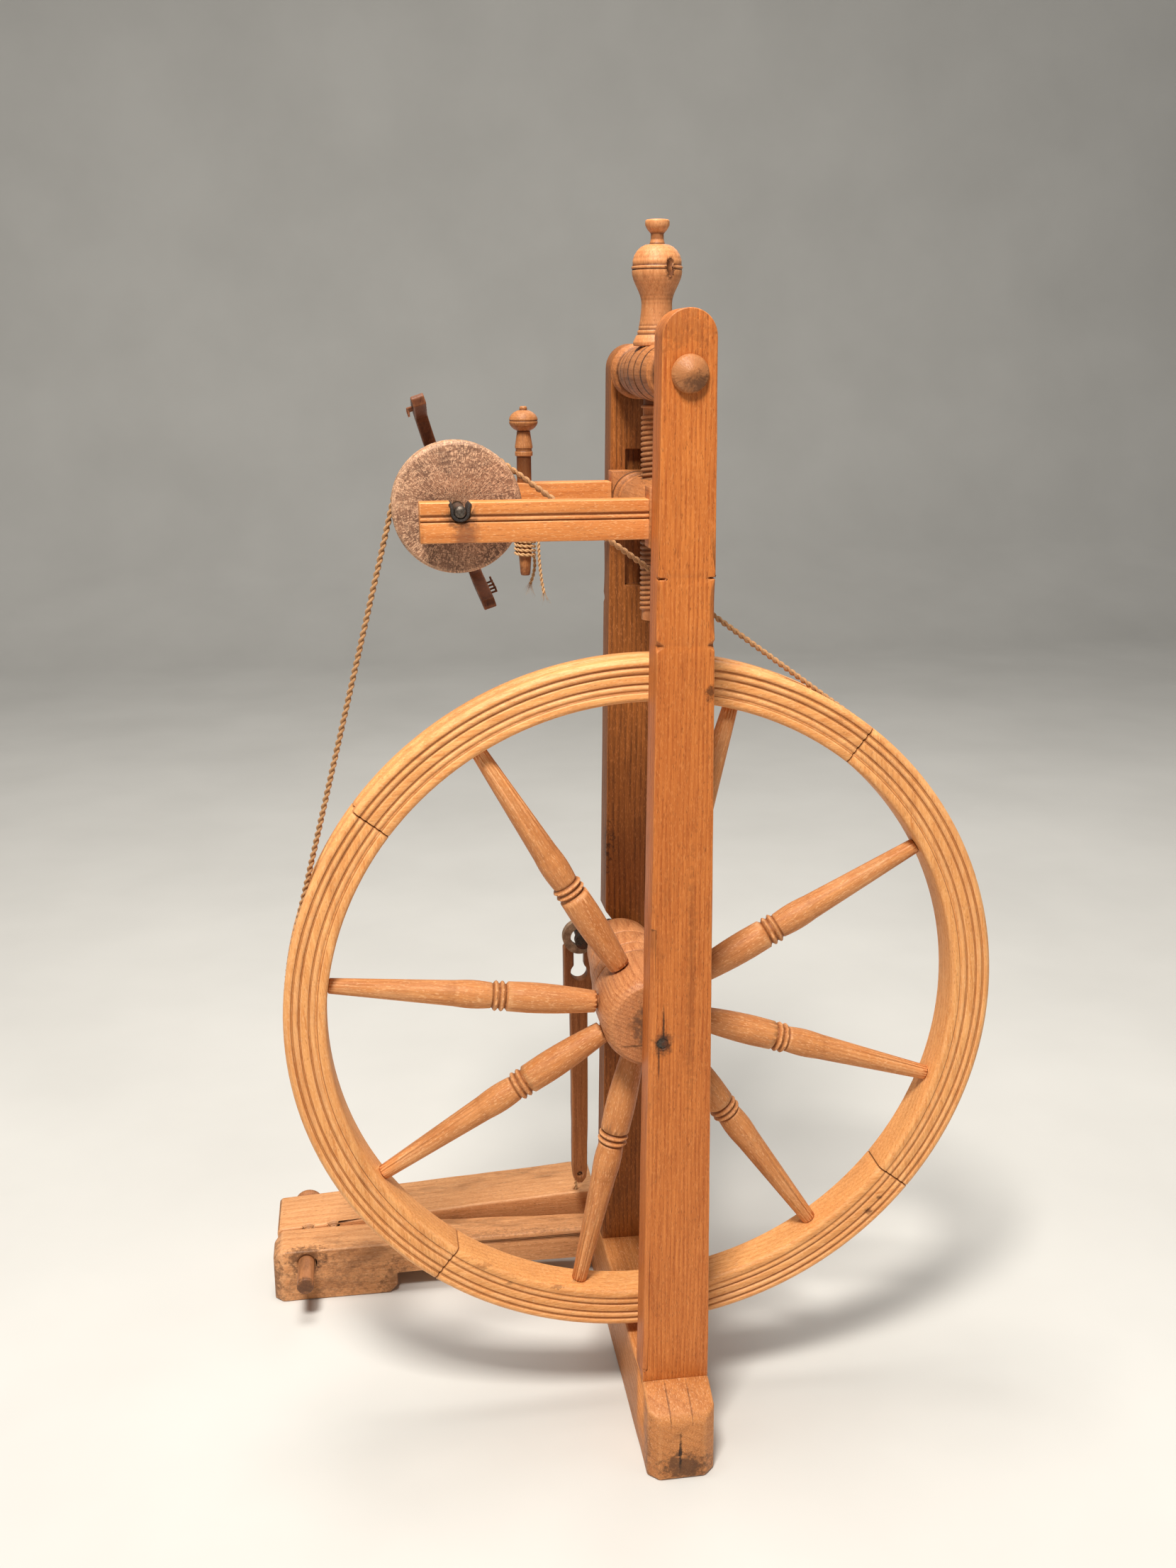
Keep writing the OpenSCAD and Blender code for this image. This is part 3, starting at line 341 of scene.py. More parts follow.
# the route is in mm, from the footman's hole to the treadle
tieSet = dict(thinCord, seed=23, fibres=10, fibreLength=(0.002, 0.005),
              route=[(-26, 206, 106.3), (-26, 216, 106.3), (-26, 225, 103), (-25, 233, 97), (-25, 239, 89),
                     (-25, 242.5, 78), (-24.8, 242.5, 62)])
tieRoute = smoothRoute([inMetres(p) for p in tieSet["route"]], tieSet["step"])
treadleTie, tieFibres = twistedCord("treadleTie", tieRoute, tieSet)
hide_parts("treadle_tie")
for part in (treadleTie, tieFibres):
    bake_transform(part)
for part in (driveBand, bandFibres):
    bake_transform(part)
print("cords laid")


def addNode(tree, kind, **settings):
    node = tree.nodes.new(kind)
    for key, value in settings.items():
        setattr(node, key, value)
    return node


def feed(node, values):
    for key, value in values.items():
        if isinstance(value, bpy.types.NodeSocket):
            node.id_data.links.new(value, node.inputs[key])
        else:
            node.inputs[key].default_value = value
    return node.outputs


def groupOf(name, vectors, floats, outputs):
    group = bpy.data.node_groups.new(name, "ShaderNodeTree")
    for label in vectors:
        group.interface.new_socket(label, in_out="INPUT", socket_type="NodeSocketVector")
    for label, value in floats.items():
        group.interface.new_socket(label, in_out="INPUT", socket_type="NodeSocketFloat").default_value = value
    for label in outputs:
        group.interface.new_socket(label, in_out="OUTPUT", socket_type="NodeSocketFloat")
    return group, addNode(group, "NodeGroupInput").outputs, addNode(group, "NodeGroupOutput")


def groupNode(tree, group, values):
    return feed(addNode(tree, "ShaderNodeGroup", node_tree=group), values)


def attributeOf(tree, name, output="Vector"):
    return addNode(tree, "ShaderNodeAttribute", attribute_name=name).outputs[output]


def placeOf(tree):
    return addNode(tree, "ShaderNodeTexCoord").outputs["Object"]


# a socket's id_data is the node tree that it belongs to
def axesOf(source):
    return feed(addNode(source.id_data, "ShaderNodeSeparateXYZ"), {0: source})


def vectorOf(operation, *values):
    return feed(addNode(values[0].id_data, "ShaderNodeVectorMath", operation=operation), dict(enumerate(values)))


def noiseOf(source, stretch, detail=3.0, rough=0.55, warp=0.0):
    if isinstance(stretch, tuple):
        source, stretch = vectorOf("MULTIPLY", source, stretch)[0], 1.0
    return feed(addNode(source.id_data, "ShaderNodeTexNoise"), {
        "Vector": source, "Scale": stretch, "Detail": detail, "Roughness": rough, "Distortion": warp})["Fac"]


def remap(source, low, high, toLow=0.0, toHigh=1.0, smooth=False):
    node = addNode(source.id_data, "ShaderNodeMapRange", interpolation_type="SMOOTHSTEP" if smooth else "LINEAR")
    return feed(node, {"Value": source, "From Min": low, "From Max": high, "To Min": toLow, "To Max": toHigh})["Result"]


def calc(operation, *values, clamp=False):
    node = addNode(values[0].id_data, "ShaderNodeMath", operation=operation, use_clamp=clamp)
    return feed(node, dict(enumerate(values)))[0]


def product(a, b, clamp=False):
    return calc("MULTIPLY", a, b, clamp=clamp)


def blendColour(factor, *colours):
    a, b = (srgb(colour) if isinstance(colour, tuple) else colour for colour in colours)
    node = addNode(factor.id_data, "ShaderNodeMix", data_type="RGBA")
    return feed(node, {0: factor, 6: a, 7: b})[2]  # the mix node's colour sockets


# noise fields in these sets: stretch, detail, roughness, warp
figureSet = {"fibre": ((26, 640, 640), 4.0, 0.62, 0.25), "waver": ((3.2, 15, 15), 2.0, 0.5),
             "flecks": ((250, 1500, 1500), 1.0, 0.4), "rays": ((300, 1100, 1100), 2.0, 0.5, 0.2),
             "tone": ((5, 22, 22), 3.0, 0.55), "slant": 0.42, "late": (0.35, 0.97), "early": (0.97, 1.0),
             "fleckCut": (0.62, 0.74), "rayCut": (0.55, 0.68), "fleckDepth": -0.7}


def makeWoodFigure():
    group, start, stop = groupOf("woodFigure", ["Coordinate"], {"Ring Width": 0.006, "Ring Waver": 0.02},
                                 ["Fibre", "Rings", "Flecks", "Rays", "Tone", "Height"])
    place = start["Coordinate"]
    fibre, waver, fleckField, rayField, tone = (noiseOf(place, *figureSet[key]) for key in (
        "fibre", "waver", "flecks", "rays", "tone"))
    axes = axesOf(place)
    across = calc("MULTIPLY_ADD", axes[2], figureSet["slant"], axes[1])
    bent = calc("MULTIPLY_ADD", waver, start["Ring Waver"], across)
    saw = calc("FRACT", calc("DIVIDE", bent, start["Ring Width"]))
    late = remap(saw, *figureSet["late"], smooth=True)
    rings = calc("SUBTRACT", late, remap(saw, *figureSet["early"]), clamp=True)
    flecks = remap(fleckField, *figureSet["fleckCut"], smooth=True)
    rays = remap(rayField, *figureSet["rayCut"], smooth=True)
    height = calc("MULTIPLY_ADD", flecks, figureSet["fleckDepth"], fibre)
    feed(stop, {"Fibre": fibre, "Rings": rings, "Flecks": flecks, "Rays": rays, "Tone": tone, "Height": height})
    return group


wearSet = {"patch": ((38, 60, 60), 3.0, 0.6), "patchCut": (0.36, 0.62, 0.25, 1.0),
           "soil": ((12, 34, 34), 5.0, 0.68, 0.4), "soilCut": (0.53, 0.74),
           "scuff": ((70, 420, 420), 5.0, 0.75, 0.8), "scuffCut": (0.57, 0.7)}


def makeHandWear():
    group, start, stop = groupOf("handWear", ["Coordinate"], {"Edge": 0.6, "Grime": 0.6, "Blotch": 0.3},
                                 ["Wear", "Dirt", "Scuff"])
    patchField, soil, scuffField = (noiseOf(start["Coordinate"], *wearSet[key]) for key in (
        "patch", "soil", "scuff"))
    patch = remap(patchField, *wearSet["patchCut"])
    rubbed = product(attributeOf(group, "edgeWear", "Fac"), patch)
    wear = product(rubbed, start["Edge"], clamp=True)
    blotch = product(remap(soil, *wearSet["soilCut"], smooth=True), start["Blotch"])
    grime = product(attributeOf(group, "crevice", "Fac"), start["Grime"])
    feed(stop, {"Wear": wear, "Dirt": calc("ADD", blotch, grime, clamp=True),
                "Scuff": remap(scuffField, *wearSet["scuffCut"], smooth=True)})
    return group


spotSet = {"torn": (240.0, 4.0, 0.65), "tornRange": (0.3, 0.7, -1.0, 1.0), "fade": (1.15, 0.35)}


def makeSpotStainAndShade():
    group, start, stop = groupOf("spotStainAndShade", ["Centre", "Reach"], {"Ragged": 0.5}, ["Mask"])
    place = placeOf(group)
    away = vectorOf("SUBTRACT", place, start["Centre"])[0]
    far = vectorOf("LENGTH", vectorOf("DIVIDE", away, start["Reach"])[0])["Value"]
    torn = remap(noiseOf(place, *spotSet["torn"]), *spotSet["tornRange"])
    edge = calc("MULTIPLY_ADD", torn, start["Ragged"], far)
    feed(stop, {"Mask": remap(edge, *spotSet["fade"], smooth=True)})
    return group


woodFigure = makeWoodFigure()
handWear = makeHandWear()
spotStainAndShade = makeSpotStainAndShade()

# tones of each wood: light, dark, fleck, ray, worn edge, dirt
toneSet = {
    "postWood": ((214, 128, 60), (164, 82, 30), (108, 52, 16), (226, 150, 86), (228, 154, 90), (92, 44, 16)),
    # the rear post's tones are drawn darker than the front post's: painted shade
    "shadedRearPostWood": ((166, 98, 42), (106, 58, 20), (84, 42, 18), (198, 126, 72), (206, 134, 80), (70, 34, 14)),
    "wheelWood": ((248, 182, 114), (208, 130, 66), (160, 94, 48), (250, 200, 148), (248, 198, 146), (128, 72, 34)),
    "hubWood": ((212, 144, 92), (164, 98, 56), (132, 76, 40), (238, 182, 130), (236, 178, 126), (92, 50, 24)),
    "armWood": ((224, 146, 82), (190, 108, 48), (146, 78, 36), (246, 190, 134), (244, 188, 132), (96, 48, 22)),
    "turnedWood": ((222, 152, 98), (182, 112, 62), (124, 68, 34), (236, 178, 124), (236, 174, 120), (88, 46, 22)),
    "drumWood": ((196, 126, 72), (146, 86, 42), (92, 48, 24), (204, 144, 102), (214, 150, 104), (62, 32, 16)),
    "baseWood": ((230, 168, 114), (190, 126, 76), (132, 78, 42), (238, 188, 142), (240, 188, 142), (84, 48, 26)),
    "pinWood": ((184, 122, 76), (132, 80, 46), (84, 48, 26), (200, 142, 96), (212, 150, 104), (66, 38, 22)),
    "footmanWood": ((170, 106, 60), (122, 70, 36), (78, 42, 20), (188, 126, 80), (200, 138, 90), (62, 34, 18)),
    "darkWood": ((112, 62, 36), (74, 38, 22), (44, 22, 12), (136, 82, 52), (176, 112, 72), (34, 18, 10)),
    "beamWood": ((214, 142, 80), (170, 102, 52), (132, 78, 42), (238, 188, 142), (232, 172, 118), (84, 48, 26)),
    "pegWood": ((190, 126, 76), (140, 86, 46), (124, 68, 34), (236, 178, 124), (210, 150, 98), (88, 46, 22)),
    "spokeWood": ((218, 146, 84), (174, 102, 52), (160, 94, 48), (250, 200, 148), (248, 198, 146), (128, 72, 34)),
}
plainWood = {"ring": 0.006, "waver": 0.012, "ringMix": 0.3, "fleckMix": 0.5, "rayMix": 0.4, "wear": 0.4, "grime": 0.85,
             "blotch": 0.4, "scuff": 0.2, "rough": (0.42, 0.62), "bump": 0.35}
woodSet = {
    "postWood": {"ring": 0.0034, "ringMix": 0.38, "rayMix": 0.3, "blotch": 0.32, "rough": (0.4, 0.6), "bump": 0.3},
    "shadedRearPostWood": {"ring": 0.0044, "waver": 0.014, "ringMix": 0.5, "wear": 0.3, "blotch": 0.6, "bump": 0.3},
    "wheelWood": {"ring": 0.0055, "waver": 0.014, "ringMix": 0.26, "fleckMix": 0.42, "wear": 0.42, "grime": 0.62,
                  "blotch": 0.2, "rough": (0.45, 0.66)},
    "hubWood": {"ring": 0.004, "ringMix": 0.44, "rayMix": 0.35, "wear": 0.1, "grime": 0.95, "blotch": 0.6,
                "scuff": 0.25, "rough": (0.42, 0.64)},
    "armWood": {"waver": 0.016, "ringMix": 0.24, "fleckMix": 0.42, "wear": 0.45, "grime": 0.8, "blotch": 0.22,
                "bump": 0.3},
    "turnedWood": {"ring": 0.005, "ringMix": 0.24, "fleckMix": 0.45, "rayMix": 0.35, "blotch": 0.32, "scuff": 0.24,
                   "rough": (0.4, 0.6)},
    "drumWood": {"rayMix": 0.3, "wear": 0.15, "grime": 0.95, "scuff": 0.3, "rough": (0.42, 0.64)},
    "baseWood": {"ring": 0.0085, "waver": 0.024, "wear": 0.35, "grime": 0.9, "blotch": 0.5, "scuff": 0.4,
                 "rough": (0.38, 0.7), "bump": 0.45},
    "pinWood": {"ring": 0.005, "fleckMix": 0.45, "rayMix": 0.3, "scuff": 0.25, "rough": (0.4, 0.62)},
    "footmanWood": {"waver": 0.016, "fleckMix": 0.45, "rayMix": 0.35, "wear": 0.45, "grime": 0.9, "scuff": 0.25,
                    "rough": (0.42, 0.66)},
    "darkWood": {"waver": 0.014, "ringMix": 0.35, "fleckMix": 0.4, "rayMix": 0.25, "wear": 0.6, "grime": 0.9,
                 "blotch": 0.35, "scuff": 0.3, "rough": (0.38, 0.6)},
}
woodSet["beamWood"] = woodSet["baseWood"]
woodSet["pegWood"] = woodSet["turnedWood"]
woodSet["spokeWood"] = dict(woodSet["wheelWood"], grime=0.8, blotch=0.3)

# stains, and a few patches of painted shade, in mm: centre, reach, strength, raggedness, colour
stainAndShadeSet = {
    "postWood": [
        ((0, -77, 377), (9, 20, 11), 0.9, 0.35, (58, 34, 22)),
        ((0.5, -77, 392), (1.1, 20, 22), 0.85, 0.25, (40, 22, 12)),
        ((-3, -77, 360), (0.9, 20, 18), 0.7, 0.25, (48, 26, 14)),
        ((33, -77, 655), (4, 20, 8), 0.8, 0.5, (60, 30, 14)),
        ((2, -77, 915), (30, 30, 20), 0.4, 0.7, (128, 72, 34)),
        ((22, -77, 430), (4, 30, 120), 0.35, 0.6, (120, 60, 22))],
    "shadedRearPostWood": [
        ((-12, 120, 470), (12, 30, 30), 0.8, 0.7, (46, 24, 10)),
        ((-22, 120, 300), (6, 30, 120), 0.6, 0.6, (60, 32, 14)),
        ((-20, 120, 700), (8, 30, 70), 0.6, 0.6, (56, 30, 12))],
    "wheelWood": [
        ((196, -16, 176), (4, 6, 3), 0.8, 0.4, (92, 50, 24)),
        ((206, -16, 188), (3, 6, 2), 0.7, 0.4, (96, 52, 26)),
        ((-138.6, -16.5, 155.2), (10, 6, 3), 0.4, 0.9, (140, 84, 44)),
        ((-76.2, -16.5, 127.9), (6, 3, 2), 0.5, 0.8, (118, 68, 34)),
        ((-117.5, -16.5, 136.1), (4, 4, 2), 0.5, 0.8, (120, 70, 36))],
    "hubWood": [
        ((0, -42, 377), (20, 12, 20), 0.75, 0.5, (74, 58, 48)),
        ((0, -50, 377), (60, 12, 60), 0.35, 0.4, (150, 100, 70)),
        ((-16, -42, 360), (15, 12, 1.2), 0.6, 0.25, (70, 40, 20))],
    "armWood": [
        ((-141, -47, 768), (11, 20, 17), 0.6, 0.2, (96, 54, 44)),
        ((-145, -47, 782), (14, 20, 9), 0.7, 0.25, (58, 32, 20)),
        ((-178, -47, 764), (8, 20, 16), 0.4, 0.5, (110, 62, 32))],
    "turnedWood": [
        ((21.4, 28.5, 957), (4.5, 5, 9.5), 0.55, 0.5, (104, 58, 30)),
        # painted shade darkens the tension screw's threaded part
        ((14, 46.5, 770), (30, 30, 87), 0.7, 0.1, (92, 62, 42)),
        # the front cap is darker all over, and painted shade darkens its lower right
        ((14, -85, 881), (34, 20, 34), 0.6, 0.2, (136, 82, 44)),
        ((19, -85, 875), (12, 20, 7), 0.6, 0.6, (70, 42, 24)),
        ((-80, 130.7, 712), (14, 14, 16), 0.7, 0.4, (92, 44, 24))],
    "baseWood": [
        ((-298, 190, 47), (22, 12, 17), 0.7, 0.5, (70, 40, 22)),
        # painted shade: a broad darker patch low on the base round the treadle's pin
        ((-280, 165, 24), (90, 35, 40), 0.55, 0.4, (104, 66, 44)),
        ((-336, 200, 20), (16, 80, 50), 0.6, 0.45, (82, 48, 28)),
        ((-210, 190, 10), (18, 50, 30), 0.5, 0.5, (80, 48, 28)),
        ((16, -112, 12), (24, 20, 16), 0.75, 0.5, (62, 38, 24)),
        ((12, -112, 26), (1.6, 20, 20), 0.9, 0.3, (30, 16, 8)),
        ((4, -100, 66), (0.9, 30, 20), 0.6, 0.3, (84, 46, 24)),
        ((22, -100, 66), (0.8, 30, 18), 0.55, 0.3, (84, 46, 24)),
        ((-18, -112, 30), (7, 30, 60), 0.5, 0.5, (78, 44, 24)),
        ((-120, 190, 56), (110, 12, 4), 0.4, 0.6, (96, 58, 32))],
    "pinWood": [
        ((-298, 150, 41), (14, 6, 14), 0.7, 0.4, (62, 42, 32))],
    # dark rings round the drum: scored lines, and painted shade in the grooves by its beads
    "drumWood": [
        ((14, y, 881), (80, 2.7, 80), 0.9, 0.15, (56, 29, 15))
        for y in (-40.5, -21.5, 3, 24.9, 47, 68.1, 91, 114.5, 133.5)],
}
stainAndShadeSet["beamWood"] = stainAndShadeSet["baseWood"]
stainAndShadeSet["pegWood"] = stainAndShadeSet["turnedWood"]

finishes = {}


def newFinish(name):
    material = bpy.data.materials.new(name)
    material.use_nodes = True
    finishes[name] = material
    return material.node_tree, material.node_tree.nodes["Principled BSDF"]


def surface(body, colour, rough, height, strength, depth):
    bump = feed(addNode(body.id_data, "ShaderNodeBump"), {"Strength": strength, "Distance": depth, "Height": height})
    feed(body, {"Base Color": colour, "Roughness": rough, "Normal": bump["Normal"]})


# ranges shared by every wood
woodMix = {"fibre": (0.32, 0.72, -0.1, 0.72), "tone": (0.3, 0.7, 0.0, 0.4), "scuffSheen": 0.4, "sheen": (0.25, 0.85),
           "specular": 0.3, "depth": 0.0006}


def woodFinish(name):
    want = dict(plainWood, **woodSet[name])
    tree, body = newFinish(name)
    grainCo = attributeOf(tree, "grainCo")
    figure = groupNode(tree, woodFigure, {"Coordinate": grainCo, "Ring Width": want["ring"],
                                          "Ring Waver": want["waver"]})
    worn = groupNode(tree, handWear, {"Coordinate": grainCo, "Edge": want["wear"], "Grime": want["grime"],
                                      "Blotch": want["blotch"]})
    light, dark, fleck, ray, edge, dirt = toneSet[name]
    grainMix = calc("MULTIPLY_ADD", figure["Rings"], want["ringMix"],
                    remap(figure["Fibre"], *woodMix["fibre"]), clamp=True)
    colour = blendColour(grainMix, light, dark)
    colour = blendColour(remap(figure["Tone"], *woodMix["tone"]), colour, dark)
    for mask, share, tone in ((figure["Flecks"], "fleckMix", fleck), (figure["Rays"], "rayMix", ray),
                              (worn["Scuff"], "scuff", edge)):
        colour = blendColour(product(mask, want[share]), colour, tone)
    colour = blendColour(worn["Wear"], colour, edge)
    colour = blendColour(worn["Dirt"], colour, dirt)
    # spot stains, and the patches of painted shade, laid over the wood
    for centre, reach, strength, ragged, tone in stainAndShadeSet.get(name, ()):
        spot = groupNode(tree, spotStainAndShade, {"Centre": inMetres(centre), "Reach": inMetres(reach), "Ragged": ragged})
        colour = blendColour(product(spot["Mask"], strength), colour, tone)
    body.inputs["Specular IOR Level"].default_value = woodMix["specular"]
    sheen = calc("MULTIPLY_ADD", worn["Scuff"], woodMix["scuffSheen"], figure["Fibre"])
    rough = remap(sheen, *woodMix["sheen"], *want["rough"])
    surface(body, colour, rough, figure["Height"], want["bump"], woodMix["depth"])


for name in toneSet:
    woodFinish(name)

# strokes: how fast they change round the whorl and outwards
whorlSet = {"heart": (166, 120, 90), "shade": (112, 78, 58), "light": (232, 184, 146), "pit": (74, 46, 32),
            "groove": (86, 54, 38), "edge": (232, 188, 152), "dirt": (48, 28, 20), "wear": 0.5, "grime": 0.9,
            "blotch": 0.55, "strokes": ((8.0, 640.0), (40.0, 300.0)), "strokeNoise": (1.0, 3.0, 0.6, 0.3), "slant": 0.9,
            "half": 0.5, "paleCut": (0.47, 0.57), "pits": ((400, 900, 900), 3.0, 0.6), "pitCut": (0.54, 0.66),
            "grooveCut": (0.56, 0.66, 0.0, 0.6), "patch": ((20, 30, 30), 4.0, 0.6, 0.5), "patchCut": (0.36, 0.64),
            "strength": 0.8, "rough": (0.3, 0.7, 0.55, 0.8), "bump": 0.5, "depth": 0.0007}


def whorlFinish():
    want = whorlSet
    tree, body = newFinish("whorlWood")
    grainCo = attributeOf(tree, "grainCo")
    worn = groupNode(tree, handWear, {"Coordinate": grainCo, "Edge": want["wear"], "Grime": want["grime"],
                                      "Blotch": want["blotch"]})
    axes = axesOf(grainCo)
    far = calc("SQRT", calc("ADD", *(product(axes[i], axes[i]) for i in (1, 2))))
    leaning = calc("MULTIPLY_ADD", axes[0], want["slant"], far)
    strokes = []
    for around, outward in want["strokes"]:
        turned = {i: product(calc("DIVIDE", axes[i], far), around) for i in (1, 2)}
        polar = feed(addNode(tree, "ShaderNodeCombineXYZ"), {0: product(leaning, outward), **turned})
        strokes.append(noiseOf(polar[0], *want["strokeNoise"]))
    specks = calc("MULTIPLY_ADD", strokes[0], want["half"], product(strokes[1], want["half"]))
    pale = remap(specks, *want["paleCut"], smooth=True)
    pits = remap(noiseOf(grainCo, *want["pits"]), *want["pitCut"], smooth=True)
    grooves = remap(strokes[0], *want["grooveCut"], smooth=True)
    patch = remap(noiseOf(grainCo, *want["patch"]), *want["patchCut"])
    colour = blendColour(patch, want["heart"], want["shade"])
    for mask, tone in ((product(pale, want["strength"]), "light"),
                       (product(pits, want["strength"]), "pit"),
                       (grooves, "groove"), (worn["Wear"], "edge"), (worn["Dirt"], "dirt")):
        colour = blendColour(mask, colour, want[tone])
    rough = remap(specks, *want["rough"])
    surface(body, colour, rough, calc("SUBTRACT", specks, grooves), want["bump"], want["depth"])


whorlFinish()

ironSet = {"fine": (900.0, 4.0, 0.65), "rust": (120.0, 5.0, 0.7, 0.4), "rustBand": 0.16, "tones": (0.35, 0.65),
           "metallic": (0.0, 1.0, 0.85, 0.15), "grit": 0.5, "rough": (0.1, 1.4, 0.38, 0.85), "bump": 0.4,
           "depth": 0.0004, "darkRust": ((112, 62, 34), (62, 34, 22)), "paleRust": ((150, 92, 58), (96, 56, 34))}


def ironFinish(name, bright, dull, rustName, spread):
    tree, body = newFinish(name)
    place = placeOf(tree)
    fine = noiseOf(place, *ironSet["fine"])
    rust = remap(noiseOf(place, *ironSet["rust"]), spread, spread + ironSet["rustBand"], smooth=True)
    metal = blendColour(remap(fine, *ironSet["tones"]), bright, dull)
    scale = blendColour(fine, *ironSet[rustName])
    feed(body, {"Metallic": remap(rust, *ironSet["metallic"])})
    dry = calc("ADD", rust, product(fine, ironSet["grit"]))
    surface(body, blendColour(rust, metal, scale), remap(dry, *ironSet["rough"]), fine,
            ironSet["bump"], ironSet["depth"])


ironFinish("oldIron", (92, 84, 76), (50, 44, 40), "darkRust", 0.44)
ironFinish("wornIron", (122, 112, 102), (66, 58, 52), "darkRust", 0.5)
ironFinish("rustIron", (104, 72, 52), (66, 44, 32), "paleRust", 0.3)

leatherSet = {"cells": 950.0, "crease": (0.0, 0.16), "foldMix": (0.0, 1.0, 0.5, 0.0), "tone": (160.0, 4.0, 0.6, 0.3),
              "toneCut": (0.35, 0.65), "roughCut": (0.3, 0.7), "roughSpan": 0.2, "bump": 0.45, "depth": 0.0004}


def leatherFinish(name, light, dark, fold, rough):
    tree, body = newFinish(name)
    place = placeOf(tree)
    cells = feed(addNode(tree, "ShaderNodeTexVoronoi", feature="DISTANCE_TO_EDGE"), {
        "Vector": place, "Scale": leatherSet["cells"]})
    crease = remap(cells["Distance"], *leatherSet["crease"], smooth=True)
    tone = noiseOf(place, *leatherSet["tone"])
    colour = blendColour(remap(tone, *leatherSet["toneCut"]), light, dark)
    colour = blendColour(remap(crease, *leatherSet["foldMix"]), colour, fold)
    dry = remap(tone, *leatherSet["roughCut"], rough, rough + leatherSet["roughSpan"])
    surface(body, colour, dry, crease, leatherSet["bump"], leatherSet["depth"])


leatherFinish("greyLeather", (206, 170, 136), (144, 112, 86), (92, 70, 54), 0.6)
leatherFinish("blackLeather", (58, 44, 36), (28, 21, 17), (18, 13, 10), 0.5)

juteSet = {"lean": 230.0, "run": 28.0, "fibre": (5.0, 4.0, 0.7), "fibreCut": (0.34, 0.66), "tone": (24.0, 2.0, 0.5),
           "toneCut": (0.35, 0.7, 0.0, 0.6), "rough": (0.3, 0.7, 0.92, 0.74), "sheen": 0.15, "bump": 0.6,
           "depth": 0.0004}


def juteFinish(name, shade, bright, soiled):
    tree, body = newFinish(name)
    cordCo = attributeOf(tree, "cordCo")
    axes = axesOf(cordCo)
    turned = product(calc("MULTIPLY_ADD", axes[0], juteSet["lean"], axes[1]), 2 * math.pi)
    wrapped = feed(addNode(tree, "ShaderNodeCombineXYZ"), {
        0: calc("SINE", turned), 1: calc("COSINE", turned), 2: product(axes[0], juteSet["run"])})
    fibre = noiseOf(wrapped[0], *juteSet["fibre"])
    tone = noiseOf(cordCo, *juteSet["tone"])
    colour = blendColour(remap(fibre, *juteSet["fibreCut"]), shade, bright)
    colour = blendColour(remap(tone, *juteSet["toneCut"]), colour, soiled)
    body.inputs["Sheen Weight"].default_value = juteSet["sheen"]
    surface(body, colour, remap(fibre, *juteSet["rough"]), fibre, juteSet["bump"], juteSet["depth"])


juteFinish("jute", (176, 128, 78), (240, 202, 150), (206, 156, 102))
juteFinish("soiledJute", (132, 88, 50), (222, 174, 120), (158, 108, 66))
for cord in (brakeWinding, windingFibres, brakeLong, longFray, brakeShort, shortFray, treadleTie, tieFibres):
    cord.data.materials.append(finishes["jute"])
for cord in (driveBand, bandFibres):
    cord.data.materials.append(finishes["soiledJute"])
print("finishes mixed")

# bench copies of the rigid pieces, with rounded and worn edges
benchSet = {"weld": 0.00002, "flatAngle": 0.6, "cutNudge": 0.00013, "broad": 0.004, "endFacing": 0.6,
            "seedShift": (3.1, 1.7, 0), "grainJump": 0.371}
fineEdge = {"segments": 2, "angle": 34}


def benchCopy(node, name):
    piece = bpy.data.objects.new(name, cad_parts[node].data.copy())
    scene.collection.objects.link(piece)
    piece.data.materials.clear()
    grip(piece)
    openMesh()
    bpy.ops.mesh.remove_doubles(threshold=benchSet["weld"])
    bpy.ops.mesh.dissolve_limited(angle_limit=math.radians(benchSet["flatAngle"]))
    closeMesh()
    return piece


def cutAcross(piece, axis, spacing):
    low = min(v.co[axis] for v in piece.data.vertices)
    high = max(v.co[axis] for v in piece.data.vertices)
    count = int((high - low) / spacing)
    normal = Vector((0, 0, 0))
    normal[axis] = 1.0
    grip(piece)
    for i in range(1, count):
        openMesh()
        spot = normal * (low + (high - low) * i / count + benchSet["cutNudge"])
        bpy.ops.mesh.bisect(plane_co=spot, plane_no=normal)
    closeMesh()


def roundEdges(piece, width, segments=3, angle=32):
    modify(piece, "BEVEL", width=width, segments=segments, limit_method="ANGLE", angle_limit=math.radians(angle),
           use_clamp_overlap=False, miter_outer="MITER_ARC")


# bends that count as fully worn or fully dirty are in radians
def markEdges(piece, convexFull=0.5, hollowFull=0.35):
    shape = bmesh.new()
    shape.from_mesh(piece.data)
    broad = {f.index: f.calc_area() / max(e.calc_length() for e in f.edges) > benchSet["broad"] for f in shape.faces}
    edgeWear, crevice = [], []
    for vert in shape.verts:
        up, down = 0.0, 0.0
        if not any(broad[f.index] for f in vert.link_faces):
            for edge in vert.link_edges:
                if len(edge.link_faces) == 2:
                    bend = edge.calc_face_angle_signed(0.0)
                    up, down = max(up, bend), max(down, -bend)
        edgeWear.append(min(1.0, up / convexFull))
        crevice.append(min(1.0, down / hollowFull))
    shape.free()
    pointAttribute(piece, "edgeWear", edgeWear)
    pointAttribute(piece, "crevice", crevice)


def soilEnds(piece, middle):
    crevice, wear = (piece.data.attributes[name].data for name in ("crevice", "edgeWear"))
    for face in piece.data.polygons:
        out = face.center - middle
        tangent = Vector((-out.z, 0, out.x)).normalized()
        if abs(face.normal.dot(tangent)) > benchSet["endFacing"]:
            for i in face.vertices:
                crevice[i].value, wear[i].value = 1.0, 0.0


# noise_vector starts from the clock, so the three parts are read at fixed shifts instead
driftShifts = (Vector((0.13, 0.57, 0.91)), Vector((0.71, 0.29, 0.37)), Vector((0.43, 0.83, 0.19)))


